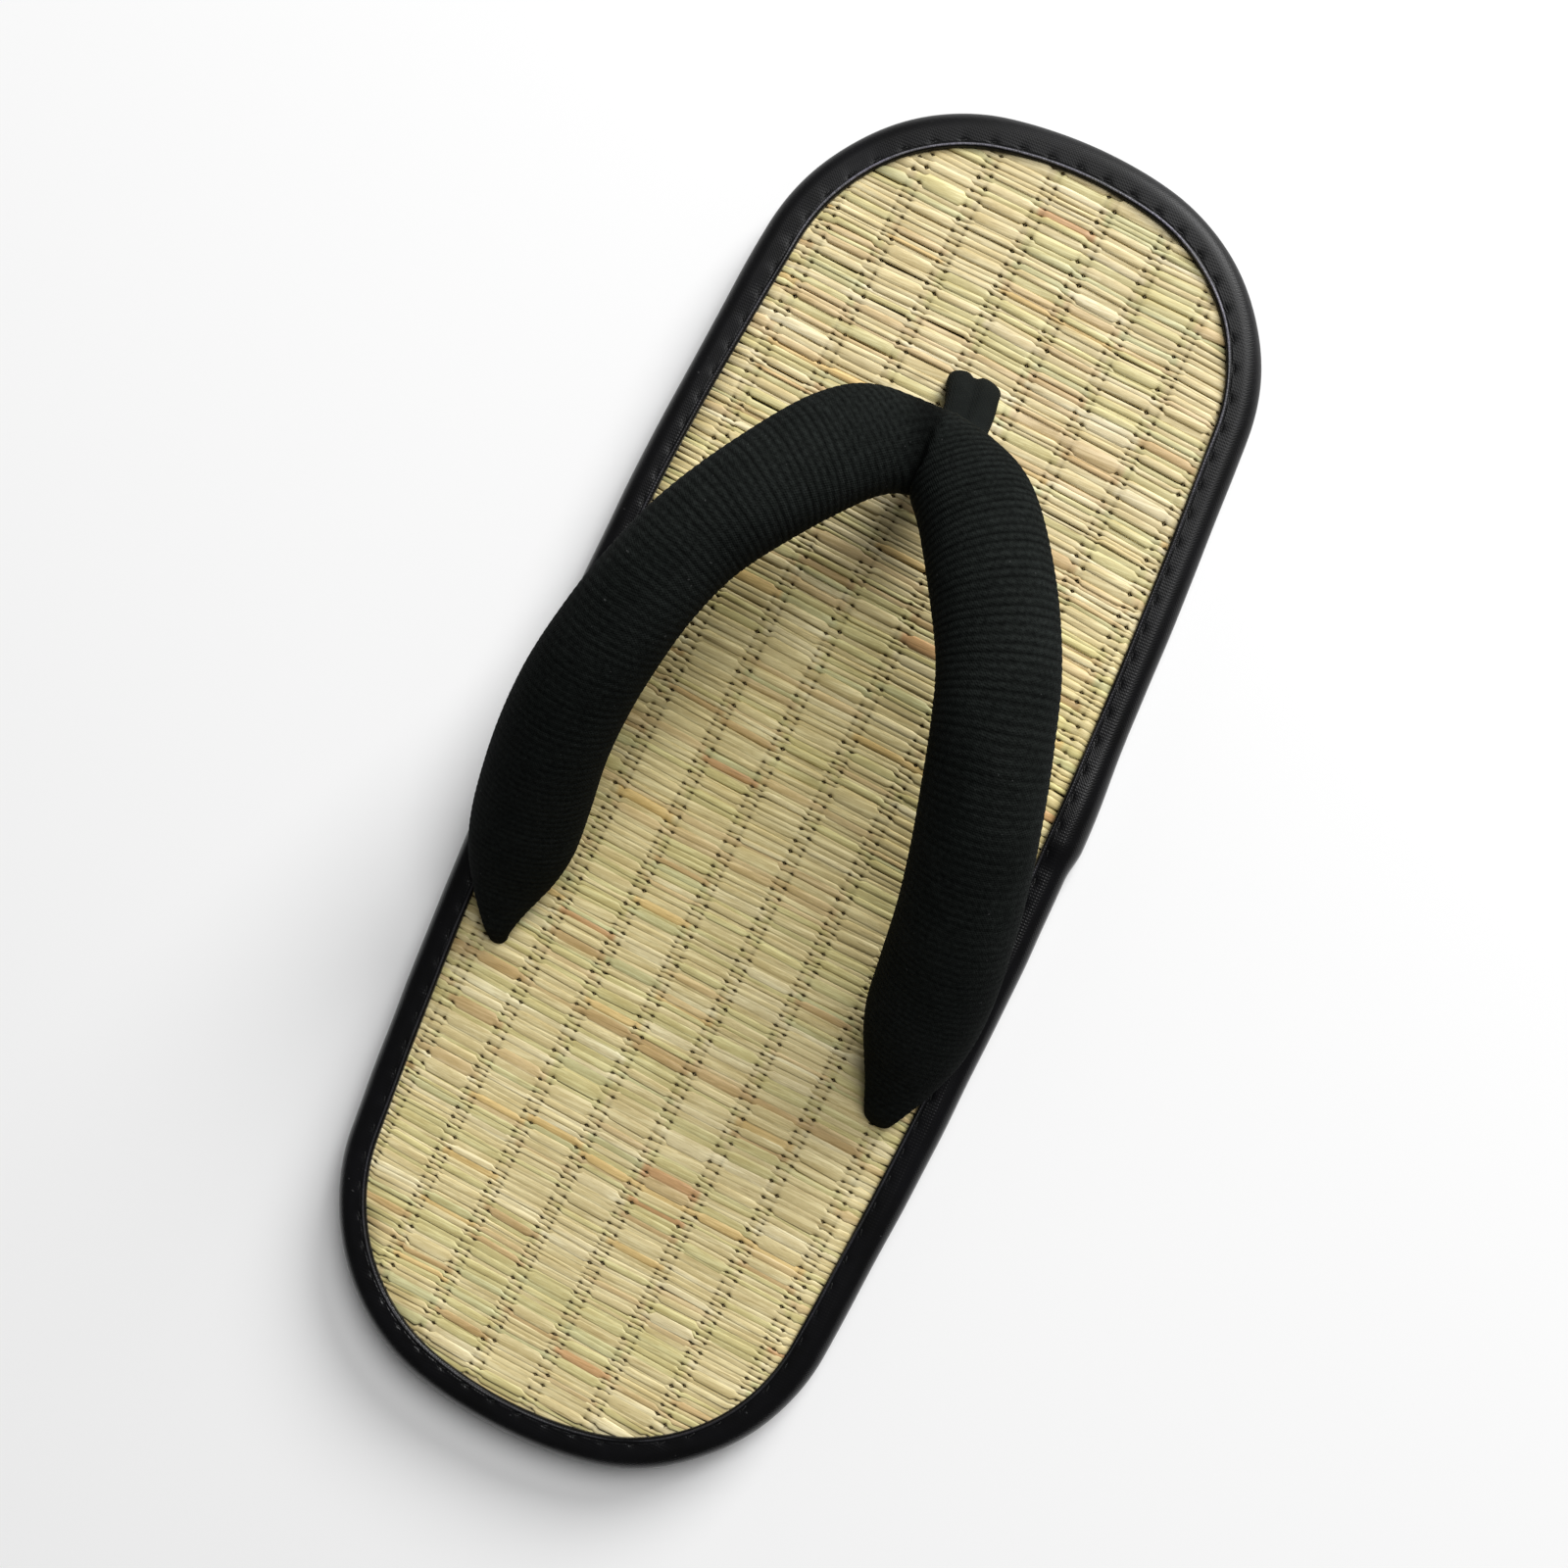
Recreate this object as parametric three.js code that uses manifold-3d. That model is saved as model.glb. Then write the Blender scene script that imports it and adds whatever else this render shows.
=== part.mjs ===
// A zori sandal: a woven rush mat on a foam sole, the edge bound with cloth tape,
// and a stuffed V strap whose ends go down through the mat and whose front is held by a cloth toe loop.
// Millimetres. +Z is up, +Y points to the toe and +X to the wearer's right.
// The origin is on the floor, under the middle of the sole. The sandal fits either foot.

import * as THREE from "three";
import { mergeVertices } from "three/addons/utils/BufferGeometryUtils.js";
import Module from "manifold-3d";

const wasm = await Module();
wasm.setup();

// Plan of the sandal, measured over the binding: three tangent arcs in each quarter.
const SANDAL_LENGTH = 250;
const SANDAL_WIDTH = 101;
const SIDE_RADIUS = 1080;
const CORNER_RADIUS = 39;
const END_RADIUS = 77;
const SIDE_STEPS = 7;
const CORNER_STEPS = 9;
const END_STEPS = 5;

// The toe end bends a little to the right.
const TOE_BEND = 1.7;
const TOE_BEND_FROM_Y = 20;
const TOE_BEND_LENGTH = SANDAL_LENGTH / 2 - TOE_BEND_FROM_Y;

// Thicknesses, from the floor up.
const CLEARANCE = 0.3;
const SOLE_TOP = 7.5;
const TAPE_TOP = 10.6;
const TAPE_THICKNESS = 1;
const MAT_EDGE_TOP = TAPE_TOP - TAPE_THICKNESS - CLEARANCE;
const EDGE_INSET = TAPE_THICKNESS + CLEARANCE;

// Foot of the sole: it stands below the tape's lower flange.
const TAPE_FOOT = 0.5;
const LOWER_FLANGE = 6;
const FOOT_INSET = LOWER_FLANGE + CLEARANCE;
const FOOT_CHAMFER = 0.5;
const REBATE_TOP = TAPE_FOOT + TAPE_THICKNESS + CLEARANCE;

// Tape section: a rolled top edge, a sewn groove and a raised inner fold.
const UPPER_FLANGE = 5.8;
const ROLL_RADIUS = 3.2;
const LOWER_ROLL_RADIUS = 1.5;
const ROLL_STEPS = 5;
const LOWER_ROLL_STEPS = 2;
const GROOVE_FROM_FOLD = 1.6;
const GROOVE_DEPTH = 0.1;
const FOLD_ROUND = 0.6;

// The tape reaches further in at the toe, most of all on the wearer's left.
const TOE_FLANGE_EXTRA = 1.2;
const TOE_FLANGE_FROM_Y = 40;
const TOE_FLANGE_TO_Y = 95;
const TOE_FLANGE_MIDDLE = 0.6;
const TOE_FLANGE_LEFT = 0.4;

// Lap of the tape's two ends, on the wearer's right: the upper end swells slowly and stops at a step.
const LAP_RISE = 0.8;
const LAP_START_Y = 36;
const LAP_END_Y = 8.6;
const LAP_STEP_LENGTH = 1.2;
const LAP_RAMP_STEPS = 4;

// Rush mat: raised columns of stems between pairs of warp cords.
const COLUMN_PITCH = 11.2;
const COLUMN_OFFSET = 0.6;
const COLUMN_TOP = 10.1;
const WARP_TOP = 9.6;
const COLUMN_COUNT = 9;
const COLUMN_STEPS = 5;
const COLUMN_FULLNESS = 0.7;
const WARP_SLANT = THREE.MathUtils.degToRad(1.4);
const FIELD_INSET = UPPER_FLANGE + CLEARANCE;

// Right half of the strap, from the tail in its slot to the apex on the middle plane.
// inner and outer are the edges in plan, lift is the height of the section's middle above the mat,
// depth is the thickness of the padding, and slim is how much narrower the left arm is stuffed there,
// less than nothing where it is fuller.
const STRAP_SECTIONS = [
  { at: "tail", inner: [34.9, -47.4], outer: [39.7, -47.9], lift: -5.6, depth: 2.2, slim: 1.4 },
  { at: "slot", inner: [34.8, -45.8], outer: [40.0, -46.4], lift: -0.6, depth: 2.6, slim: 1.8 },
  { at: "pinch", inner: [34.0, -43.2], outer: [41.0, -44.4], lift: 2.4, depth: 4.0, slim: 1.5 },
  { at: "taper", inner: [32.3, -38.8], outer: [43.1, -40.2], lift: 4.4, depth: 7.0, slim: 0.9 },
  { at: "shoulder", inner: [29.6, -33.0], outer: [45.6, -34.6], lift: 6.8, depth: 11.6, slim: 0.4 },
  { at: "heel swell", inner: [27.7, -26.6], outer: [47.4, -27.8], lift: 10.6, depth: 15.6, slim: 0.4 },
  { at: "heel side", inner: [27.1, -19.1], outer: [47.9, -19.4], lift: 16, depth: 17.4, slim: 0.6 },
  { at: "rise", inner: [26.5, -9.4], outer: [47.0, -8.6], lift: 24, depth: 17.8, slim: 0.8 },
  { at: "middle", inner: [25.0, 0.2], outer: [45.3, 2.3], lift: 30, depth: 17.8, slim: 1.0 },
  { at: "instep", inner: [22.9, 9.4], outer: [42.9, 13.0], lift: 34.3, depth: 17.8, slim: 1.6 },
  { at: "crown", inner: [20.5, 18.4], outer: [40.1, 23.0], lift: 36.5, depth: 17.8, slim: 2.0 },
  { at: "bend", inner: [17.2, 27.5], outer: [35.9, 35.2], lift: 36.2, depth: 17.8, slim: 2.2 },
  { at: "fore arm", inner: [11.8, 36.7], outer: [29.0, 48.0], lift: 34, depth: 17.4, slim: 1.8 },
  { at: "neck", inner: [5.3, 46.3], outer: [19.8, 60.0], lift: 29.5, depth: 16.4, slim: 0.2 },
  { at: "front", inner: [1.5, 50.8], outer: [11.0, 65.3], lift: 25.6, depth: 14.8, slim: -1.1 },
  { at: "apex", inner: [1.1, 51.9], outer: [0.5, 67.6], lift: 24.2, depth: 13.2, slim: 0 },
];
// The right arm and the apex stand this far to the right of the left arm's mirror.
const STRAP_LEAN = 0.9;
const STRAP_STEPS_PER_SECTION = 3;
const STRAP_SIDES = 16;

// Toe loop, from its tail in the mat up to the underside of the strap's apex.
// x and y are its middle in plan: it leans to the right as it climbs.
const LOOP_SECTIONS = [
  { at: "tail", x: 0.5, y: 77.0, lift: -5.6, width: 8.6, depth: 4.2 },
  { at: "hole", x: 0.5, y: 77.0, lift: 0, width: 9.8, depth: 4.8 },
  { at: "heel of the tab", x: 1.1, y: 75.6, lift: 4.2, width: 9.8, depth: 5.2 },
  { at: "tab", x: 2.7, y: 71.0, lift: 9.6, width: 9.0, depth: 4.8 },
  { at: "seat", x: 3.6, y: 64.6, lift: 15.2, width: 8.4, depth: 4.6 },
  { at: "top", x: 3.8, y: 60.0, lift: 19.4, width: 7.6, depth: 4.4 },
];
const LOOP_STEPS_PER_SECTION = 2;
const LOOP_SIDES = 20;
const LOOP_FOLD = 0.34;
const LOOP_FOLD_WIDTH = 1.3;

const COLOURS = { foam: 0x2a2a2c, rush: 0xcdbf8e, tape: 0x1d1d20, strap: 0x191c1c, loop: 0x131516 };

// One quarter of the plan as arcs with their centres; the outward normal's angle runs from 0 at the side
// to a right angle at the end.
function quarterArcs() {
  const side = { x: SANDAL_WIDTH / 2 - SIDE_RADIUS, y: 0, radius: SIDE_RADIUS };
  const end = { x: 0, y: SANDAL_LENGTH / 2 - END_RADIUS, radius: END_RADIUS };
  const toSide = SIDE_RADIUS - CORNER_RADIUS;
  const toEnd = END_RADIUS - CORNER_RADIUS;
  const apart = Math.hypot(end.x - side.x, end.y - side.y);
  const along = (toSide ** 2 - toEnd ** 2 + apart ** 2) / (2 * apart);
  const across = Math.sqrt(toSide ** 2 - along ** 2);
  const ux = (end.x - side.x) / apart;
  const uy = (end.y - side.y) / apart;
  const corner = {
    x: side.x + along * ux - across * uy,
    y: side.y + along * uy + across * ux,
    radius: CORNER_RADIUS,
  };
  const leaveSide = Math.atan2(corner.y - side.y, corner.x - side.x);
  const meetEnd = Math.atan2(corner.y - end.y, corner.x - end.x);
  return [
    { ...side, from: 0, to: leaveSide, steps: SIDE_STEPS },
    { ...corner, from: leaveSide, to: meetEnd, steps: CORNER_STEPS },
    { ...end, from: meetEnd, to: Math.PI / 2, steps: END_STEPS },
  ];
}

const ARCS = quarterArcs();

// Angles of the outward normal all the way round, the same in every quarter.
function planAngles() {
  const quarter = [];
  for (const arc of ARCS) {
    for (let step = 0; step < arc.steps; step += 1) {
      quarter.push(arc.from + ((arc.to - arc.from) * step) / arc.steps);
    }
  }
  const back = quarter.slice(1).reverse().map((angle) => Math.PI - angle);
  const half = [...quarter, Math.PI / 2, ...back];
  return [...half, ...half.map((angle) => angle + Math.PI)];
}

const PLAN_ANGLES = planAngles();

// Point of the plan at a normal's angle, moved in from the edge by inset and bent with the toe.
function planPoint(angle, inset) {
  const cos = Math.cos(angle);
  const sin = Math.sin(angle);
  const folded = Math.atan2(Math.abs(sin), Math.abs(cos));
  const arc = ARCS.find((each) => folded <= each.to) ?? ARCS[ARCS.length - 1];
  const x = Math.sign(cos) * (arc.x + (arc.radius - inset) * Math.cos(folded));
  const y = Math.sign(sin) * (arc.y + (arc.radius - inset) * Math.sin(folded));
  const share = Math.max(y - TOE_BEND_FROM_Y, 0) / TOE_BEND_LENGTH;
  const slope = (2 * TOE_BEND * share) / TOE_BEND_LENGTH;
  return new THREE.Vector2(x + TOE_BEND * share ** 2, y - x * slope);
}

// Extra reach of the tape's upper flange at a normal's angle: none but at the toe.
function toeFlange(angle) {
  const { x, y } = planPoint(angle, 0);
  const share = THREE.MathUtils.smoothstep(y, TOE_FLANGE_FROM_Y, TOE_FLANGE_TO_Y);
  const side = x / (SANDAL_WIDTH / 2);
  return TOE_FLANGE_EXTRA * share * (TOE_FLANGE_MIDDLE - TOE_FLANGE_LEFT * side);
}

// Closed surface through rings of equally many points.
// The ends are capped, or the last ring joins the first.
function skin(rings, { joined = false } = {}) {
  const sides = rings[0].length;
  const points = rings.flat();
  const triangles = [];
  const spans = joined ? rings.length : rings.length - 1;
  for (let ring = 0; ring < spans; ring += 1) {
    const next = (ring + 1) % rings.length;
    for (let side = 0; side < sides; side += 1) {
      const a = ring * sides + side;
      const b = ring * sides + ((side + 1) % sides);
      const c = next * sides + ((side + 1) % sides);
      const d = next * sides + side;
      triangles.push([a, b, c], [a, c, d]);
    }
  }
  if (!joined) {
    for (const [ring, flip] of [[0, true], [rings.length - 1, false]]) {
      const middle = rings[ring].reduce((sum, p) => sum.add(p), new THREE.Vector3()).divideScalar(sides);
      const hub = points.push(middle) - 1;
      for (let side = 0; side < sides; side += 1) {
        const a = ring * sides + side;
        const b = ring * sides + ((side + 1) % sides);
        triangles.push(flip ? [hub, b, a] : [hub, a, b]);
      }
    }
  }
  return outward(points, triangles);
}

// Geometry with its faces pointing out, whichever way round the rings were given.
function outward(points, triangles) {
  const volume = triangles.reduce(
    (sum, [a, b, c]) => sum + points[a].dot(points[b].clone().cross(points[c])),
    0,
  );
  const index = triangles.flatMap(([a, b, c]) => (volume < 0 ? [a, c, b] : [a, b, c]));
  const geometry = new THREE.BufferGeometry();
  const positions = points.flatMap((p) => [p.x, p.y, p.z]);
  geometry.setAttribute("position", new THREE.Float32BufferAttribute(positions, 3));
  geometry.setIndex(index);
  return geometry;
}

function toSolid(geometry) {
  const bare = geometry.clone();
  bare.deleteAttribute("normal");
  bare.deleteAttribute("uv");
  const merged = mergeVertices(bare);
  const mesh = new wasm.Mesh({
    numProp: 3,
    vertProperties: new Float32Array(merged.attributes.position.array),
    triVerts: new Uint32Array(merged.index.array),
  });
  return new wasm.Manifold(mesh);
}

function toGeometry(solid) {
  const mesh = solid.getMesh();
  const geometry = new THREE.BufferGeometry();
  geometry.setAttribute("position", new THREE.Float32BufferAttribute(mesh.vertProperties, 3));
  geometry.setIndex([...mesh.triVerts]);
  return geometry;
}

// Stack of plan outlines, each moved in by its own inset and set at its own height.
// Levels with a reach of one follow the tape's upper flange at the toe.
function slab(levels) {
  const rings = levels.map(({ inset, z, reach = 0 }) =>
    PLAN_ANGLES.map((angle) => {
      const p = planPoint(angle, inset + reach * toeFlange(angle));
      return new THREE.Vector3(p.x, p.y, z);
    }),
  );
  return skin(rings);
}

// Points of an arc in the tape's section: inset from the edge, height, and the way out of the arc.
function rollArc({ inset, z, radius, fromDeg, toDeg, steps }) {
  const points = [];
  for (let step = 0; step <= steps; step += 1) {
    const angle = THREE.MathUtils.degToRad(fromDeg + ((toDeg - fromDeg) * step) / steps);
    const out = Math.cos(angle);
    const up = Math.sin(angle);
    points.push({ inset: inset - radius * out, z: z + radius * up, out, up: Math.max(up, 0) });
  }
  return points;
}

// Tape section, round from the inner fold on top to the lower flange, then back along the inner face.
// out and up are how far each point moves when the lap lifts the outer face; the inner face stays.
// Points with a reach of one move in where the flange is wider at the toe.
function tapeSection() {
  const roll = { inset: ROLL_RADIUS, z: TAPE_TOP - ROLL_RADIUS, steps: ROLL_STEPS };
  const lowerRoll = { inset: LOWER_ROLL_RADIUS, z: TAPE_FOOT + LOWER_ROLL_RADIUS, steps: LOWER_ROLL_STEPS };
  const innerBottom = TAPE_FOOT + TAPE_THICKNESS;
  const onTop = { out: 0, up: 1, reach: 1 };
  const still = { out: 0, up: 0 };
  return [
    { inset: UPPER_FLANGE, z: TAPE_TOP - FOLD_ROUND, ...onTop },
    { inset: UPPER_FLANGE - FOLD_ROUND, z: TAPE_TOP, ...onTop },
    { inset: UPPER_FLANGE - GROOVE_FROM_FOLD, z: TAPE_TOP - GROOVE_DEPTH, ...onTop },
    ...rollArc({ ...roll, radius: ROLL_RADIUS, fromDeg: 90, toDeg: 0 }),
    ...rollArc({ ...lowerRoll, radius: LOWER_ROLL_RADIUS, fromDeg: 0, toDeg: -90 }),
    { inset: LOWER_FLANGE, z: TAPE_FOOT, ...still },
    { inset: LOWER_FLANGE, z: innerBottom, ...still },
    { inset: TAPE_THICKNESS, z: innerBottom, ...still },
    ...rollArc({ ...roll, radius: ROLL_RADIUS - TAPE_THICKNESS, fromDeg: 0, toDeg: 90 })
      .map(({ inset, z }) => ({ inset, z, ...still })),
    { inset: UPPER_FLANGE, z: TAPE_TOP - TAPE_THICKNESS, ...still, reach: 1 },
  ];
}

// Extra thickness of the tape where its ends lap, at a point of the plan.
function lapRise({ x, y }) {
  if (x < 0 || y > LAP_START_Y || y < LAP_END_Y - LAP_STEP_LENGTH) {
    return 0;
  }
  if (y >= LAP_END_Y) {
    return LAP_RISE * THREE.MathUtils.smoothstep(LAP_START_Y - y, 0, LAP_START_Y - LAP_END_Y);
  }
  return (LAP_RISE * (y - LAP_END_Y + LAP_STEP_LENGTH)) / LAP_STEP_LENGTH;
}

// Angles round the plan for the tape, with more of them along the lap.
function tapeAngles() {
  const lapYs = [LAP_END_Y - LAP_STEP_LENGTH];
  for (let step = 0; step <= LAP_RAMP_STEPS; step += 1) {
    lapYs.push(LAP_END_Y + ((LAP_START_Y - LAP_END_Y) * step) / LAP_RAMP_STEPS);
  }
  const lap = lapYs.map((y) => Math.asin(y / SIDE_RADIUS));
  const clear = PLAN_ANGLES.filter((angle) => angle < lap[0] / 2 || angle > lap[lap.length - 1]);
  return [...clear, ...lap].sort((a, b) => a - b);
}

function edgeBinding() {
  const section = tapeSection();
  const rings = tapeAngles().map((angle) => {
    const rise = lapRise(planPoint(angle, 0));
    const flange = toeFlange(angle);
    return section.map(({ inset, z, out, up, reach = 0 }) => {
      const p = planPoint(angle, inset - rise * out + flange * reach);
      return new THREE.Vector3(p.x, p.y, z + rise * up);
    });
  });
  return skin(rings, { joined: true });
}

// Smooth curve through points, evenly spaced in its parameter from one point to the next.
function smoothThrough(points) {
  return new THREE.CatmullRomCurve3(points, false, "catmullrom");
}

// Left arm's row: the right arm's mirror, with its outer edge drawn in.
function leftRow({ inner, outer, slim, ...rest }) {
  const width = Math.hypot(outer[0] - inner[0], outer[1] - inner[1]);
  const kept = (width - slim) / width;
  const drawnIn = inner.map((value, axis) => value + (outer[axis] - value) * kept);
  return { ...rest, inner: [-inner[0], inner[1]], outer: [-drawnIn[0], drawnIn[1]] };
}

// Right arm's row, leaning to the right.
function rightRow({ inner, outer, ...rest }) {
  return { ...rest, inner: [inner[0] + STRAP_LEAN, inner[1]], outer: [outer[0] + STRAP_LEAN, outer[1]] };
}

// Rings of the strap from one tail over the apex to the other, on smooth curves through the table's rows.
function strapRings(grow) {
  const left = STRAP_SECTIONS.slice(0, -1).map(leftRow).reverse();
  const rows = [...STRAP_SECTIONS.map(rightRow), ...left];
  const innerEdge = smoothThrough(rows.map((row) => new THREE.Vector3(...row.inner, COLUMN_TOP + row.lift)));
  const outerEdge = smoothThrough(rows.map((row) => new THREE.Vector3(...row.outer, COLUMN_TOP + row.lift)));
  const depths = smoothThrough(rows.map((row) => new THREE.Vector3(row.depth, 0, 0)));
  const count = (rows.length - 1) * STRAP_STEPS_PER_SECTION;
  const stations = [];
  for (let step = 0; step <= count; step += 1) {
    const t = step / count;
    const inner = innerEdge.getPoint(t);
    const outer = outerEdge.getPoint(t);
    stations.push({
      middle: inner.clone().lerp(outer, 0.5),
      half: outer.sub(inner).multiplyScalar(0.5),
      depth: depths.getPoint(t).x,
    });
  }
  return stations.map(({ middle, half, depth }, index) => {
    const before = stations[Math.max(index - 1, 0)].middle;
    const after = stations[Math.min(index + 1, count)].middle;
    const along = after.clone().sub(before).normalize();
    const across = half.clone().setLength(half.length() + grow);
    const up = across.clone().cross(along).setLength(depth / 2 + grow);
    return ringPoints(middle, across, up, STRAP_SIDES);
  });
}

// Elliptic ring about a middle point. The fold narrows its depth along the middle.
function ringPoints(middle, across, up, sides, fold = () => 1) {
  const points = [];
  for (let side = 0; side < sides; side += 1) {
    const angle = (2 * Math.PI * side) / sides;
    const offset = across.clone().multiplyScalar(Math.cos(angle));
    const rise = up.clone().multiplyScalar(Math.sin(angle) * fold(offset.length()));
    points.push(middle.clone().add(offset).add(rise));
  }
  return points;
}

function loopRings(grow) {
  const middles = LOOP_SECTIONS.map((row) => new THREE.Vector3(row.x, row.y, COLUMN_TOP + row.lift));
  const path = smoothThrough(middles);
  const sizes = smoothThrough(LOOP_SECTIONS.map((row) => new THREE.Vector3(row.width, row.depth, 0)));
  const fold = (x) => 1 - LOOP_FOLD * Math.exp(-((x / LOOP_FOLD_WIDTH) ** 2));
  const count = (LOOP_SECTIONS.length - 1) * LOOP_STEPS_PER_SECTION;
  const rings = [];
  for (let step = 0; step <= count; step += 1) {
    const t = step / count;
    const along = path.getTangent(t);
    const size = sizes.getPoint(t);
    const across = new THREE.Vector3(size.x / 2 + grow, 0, 0);
    const up = new THREE.Vector3(0, along.z, -along.y).setLength(size.y / 2 + grow);
    rings.push(ringPoints(path.getPoint(t), across, up, LOOP_SIDES, grow > 0 ? undefined : fold));
  }
  return rings;
}

// Room that the strap's tails and the toe loop's tail take in the mat and the sole.
function slots() {
  return toSolid(skin(strapRings(CLEARANCE))).add(toSolid(skin(loopRings(CLEARANCE))));
}

function sole() {
  const body = slab([
    { inset: FOOT_INSET + FOOT_CHAMFER, z: 0 },
    { inset: FOOT_INSET, z: FOOT_CHAMFER },
    { inset: FOOT_INSET, z: REBATE_TOP },
    { inset: EDGE_INSET, z: REBATE_TOP },
    { inset: EDGE_INSET, z: SOLE_TOP },
  ]);
  return toGeometry(toSolid(body).subtract(slots()));
}

// Crowned columns of stems, side by side across the foot.
function columns() {
  const profile = new THREE.Shape();
  const left = COLUMN_OFFSET - (COLUMN_COUNT * COLUMN_PITCH) / 2;
  profile.moveTo(left, SOLE_TOP + CLEARANCE);
  for (let column = 0; column < COLUMN_COUNT; column += 1) {
    for (let step = 0; step <= COLUMN_STEPS; step += 1) {
      const share = step / COLUMN_STEPS;
      const crown = Math.sin(Math.PI * share) ** COLUMN_FULLNESS;
      profile.lineTo(left + (column + share) * COLUMN_PITCH, WARP_TOP + (COLUMN_TOP - WARP_TOP) * crown);
    }
  }
  profile.lineTo(left + COLUMN_COUNT * COLUMN_PITCH, SOLE_TOP + CLEARANCE);
  const block = new THREE.ExtrudeGeometry(profile, { depth: SANDAL_LENGTH, bevelEnabled: false });
  block.rotateX(Math.PI / 2);
  block.translate(0, SANDAL_LENGTH / 2, 0);
  block.rotateZ(-WARP_SLANT);
  return block;
}

function rushMat() {
  const rollZ = TAPE_TOP - ROLL_RADIUS;
  const edge = rollArc({
    inset: ROLL_RADIUS,
    z: rollZ,
    radius: MAT_EDGE_TOP - rollZ,
    fromDeg: 0,
    toDeg: 90,
    steps: ROLL_STEPS,
  });
  const pressed = slab(edge.map(({ inset, z }) => ({ inset, z: Math.max(z, SOLE_TOP) })));
  const field = slab([
    { inset: FIELD_INSET, z: SOLE_TOP, reach: 1 },
    { inset: FIELD_INSET, z: COLUMN_TOP + CLEARANCE, reach: 1 },
  ]);
  const raised = toSolid(field).intersect(toSolid(columns()));
  return toGeometry(toSolid(pressed).add(raised).subtract(slots()));
}

function toeLoop() {
  return toGeometry(toSolid(skin(loopRings(0))).subtract(toSolid(skin(strapRings(CLEARANCE)))));
}

function piece(name, geometry, color, roughness) {
  geometry.computeVertexNormals();
  const material = new THREE.MeshStandardMaterial({ color, roughness, metalness: 0 });
  const mesh = new THREE.Mesh(geometry, material);
  mesh.name = name;
  return mesh;
}

const zori = new THREE.Group();
zori.add(piece("sole", sole(), COLOURS.foam, 0.8));
zori.add(piece("rush_mat", rushMat(), COLOURS.rush, 0.6));
zori.add(piece("edge_binding", edgeBinding(), COLOURS.tape, 0.6));
zori.add(piece("hanao_strap", skin(strapRings(0)), COLOURS.strap, 0.85));
zori.add(piece("toe_loop", toeLoop(), COLOURS.loop, 0.9));

export default zori;
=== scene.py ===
"""Looks of one zori sandal: woven rush, bound edge, stuffed strap and toe loop, on a pale floor.

Sizes and tables are in millimetres and are turned into metres where a mesh is made.
+Y points to the toe, +X to the wearer's right and +Z up, with the floor at zero.
"""

import math

import bpy
import numpy as np
from mathutils import Matrix, Vector


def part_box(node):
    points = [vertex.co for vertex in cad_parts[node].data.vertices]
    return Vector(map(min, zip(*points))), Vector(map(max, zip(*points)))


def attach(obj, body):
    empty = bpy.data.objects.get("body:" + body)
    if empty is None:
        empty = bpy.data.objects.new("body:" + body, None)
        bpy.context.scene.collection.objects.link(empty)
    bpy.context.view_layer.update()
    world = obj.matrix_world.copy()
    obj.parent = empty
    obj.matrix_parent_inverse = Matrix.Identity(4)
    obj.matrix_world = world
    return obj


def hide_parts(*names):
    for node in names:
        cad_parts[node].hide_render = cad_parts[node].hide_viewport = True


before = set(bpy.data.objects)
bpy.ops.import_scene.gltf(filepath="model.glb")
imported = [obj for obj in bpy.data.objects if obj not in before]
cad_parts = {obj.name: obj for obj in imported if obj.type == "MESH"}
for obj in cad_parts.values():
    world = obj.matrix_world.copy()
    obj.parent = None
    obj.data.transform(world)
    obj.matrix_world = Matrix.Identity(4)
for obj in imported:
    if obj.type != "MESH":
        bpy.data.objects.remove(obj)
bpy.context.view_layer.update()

MM = 0.001
RNG = np.random.default_rng(41)

# Plan of the sandal over the tape: three tangent arcs in each quarter.
TAPE_LOW, TAPE_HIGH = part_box("edge_binding")
PLAN_LENGTH = (TAPE_HIGH[1] - TAPE_LOW[1]) / MM
PLAN_WIDTH = -2 * TAPE_LOW[0] / MM
SIDE_RADIUS = 1080.0
CORNER_RADIUS = 39.0
END_RADIUS = 77.0

# The toe end bends a little to the right.
TOE_BEND = 1.7
TOE_BEND_FROM_Y = 20.0
TOE_BEND_LENGTH = 105.0

# Tape round the edge. Insets are counted inwards from the plan's edge.
TAPE_TOP = 10.6
TAPE_FOOT = 0.5
TAPE_THICKNESS = 1.0
UPPER_FLANGE = 5.8
LOWER_FLANGE = 6.0
ROLL_RADIUS = 3.2
LOWER_ROLL_RADIUS = 1.5
ROLL_STEPS = 9
SMALL_ROLL_STEPS = 4
SIDE_MIDDLE = 4.6
GROOVE_INSET = 4.62
GROOVE_DEPTH = 0.05
GROOVE_HALF = 0.22
GROOVE_OUTER = 0.5
FOLD_WIDTH = 0.85
FOLD_STEPS = 5
FOLD_ROUND = 0.8
FOLD_DROP_INSIDE = 0.5
FOLD_DROP_OUTSIDE = 0.16
TAPE_STATION = 0.5
# Over this length, from the middle towards the toe, the tape turns dull.
TAPE_WEAR_LENGTH = 70.0

# The tape's ends lap on the right: it swells from LAP_START_Y back to LAP_END_Y, then slopes down.
LAP_RISE = 0.8
LAP_START_Y = 36.0
LAP_END_Y = 11.0
LAP_STEP_LENGTH = 6.0
LAP_STATIONS = 5
FOLD_LAP_SHARE = 0.8

# Slow and quick waves of the slack tape, and of its lip: how long and how high. Each is a sum of sines,
# and they fade out where the run round the edge starts and ends.
SINES = 4
SINE_LENGTHS = (0.7, 1.5)
SLACK = (46.0, 0.07)
PUCKER = (15.0, 0.035)
LIP_WAVE = (22.0, 0.05)
SEAM_FADE = 12.0

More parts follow.
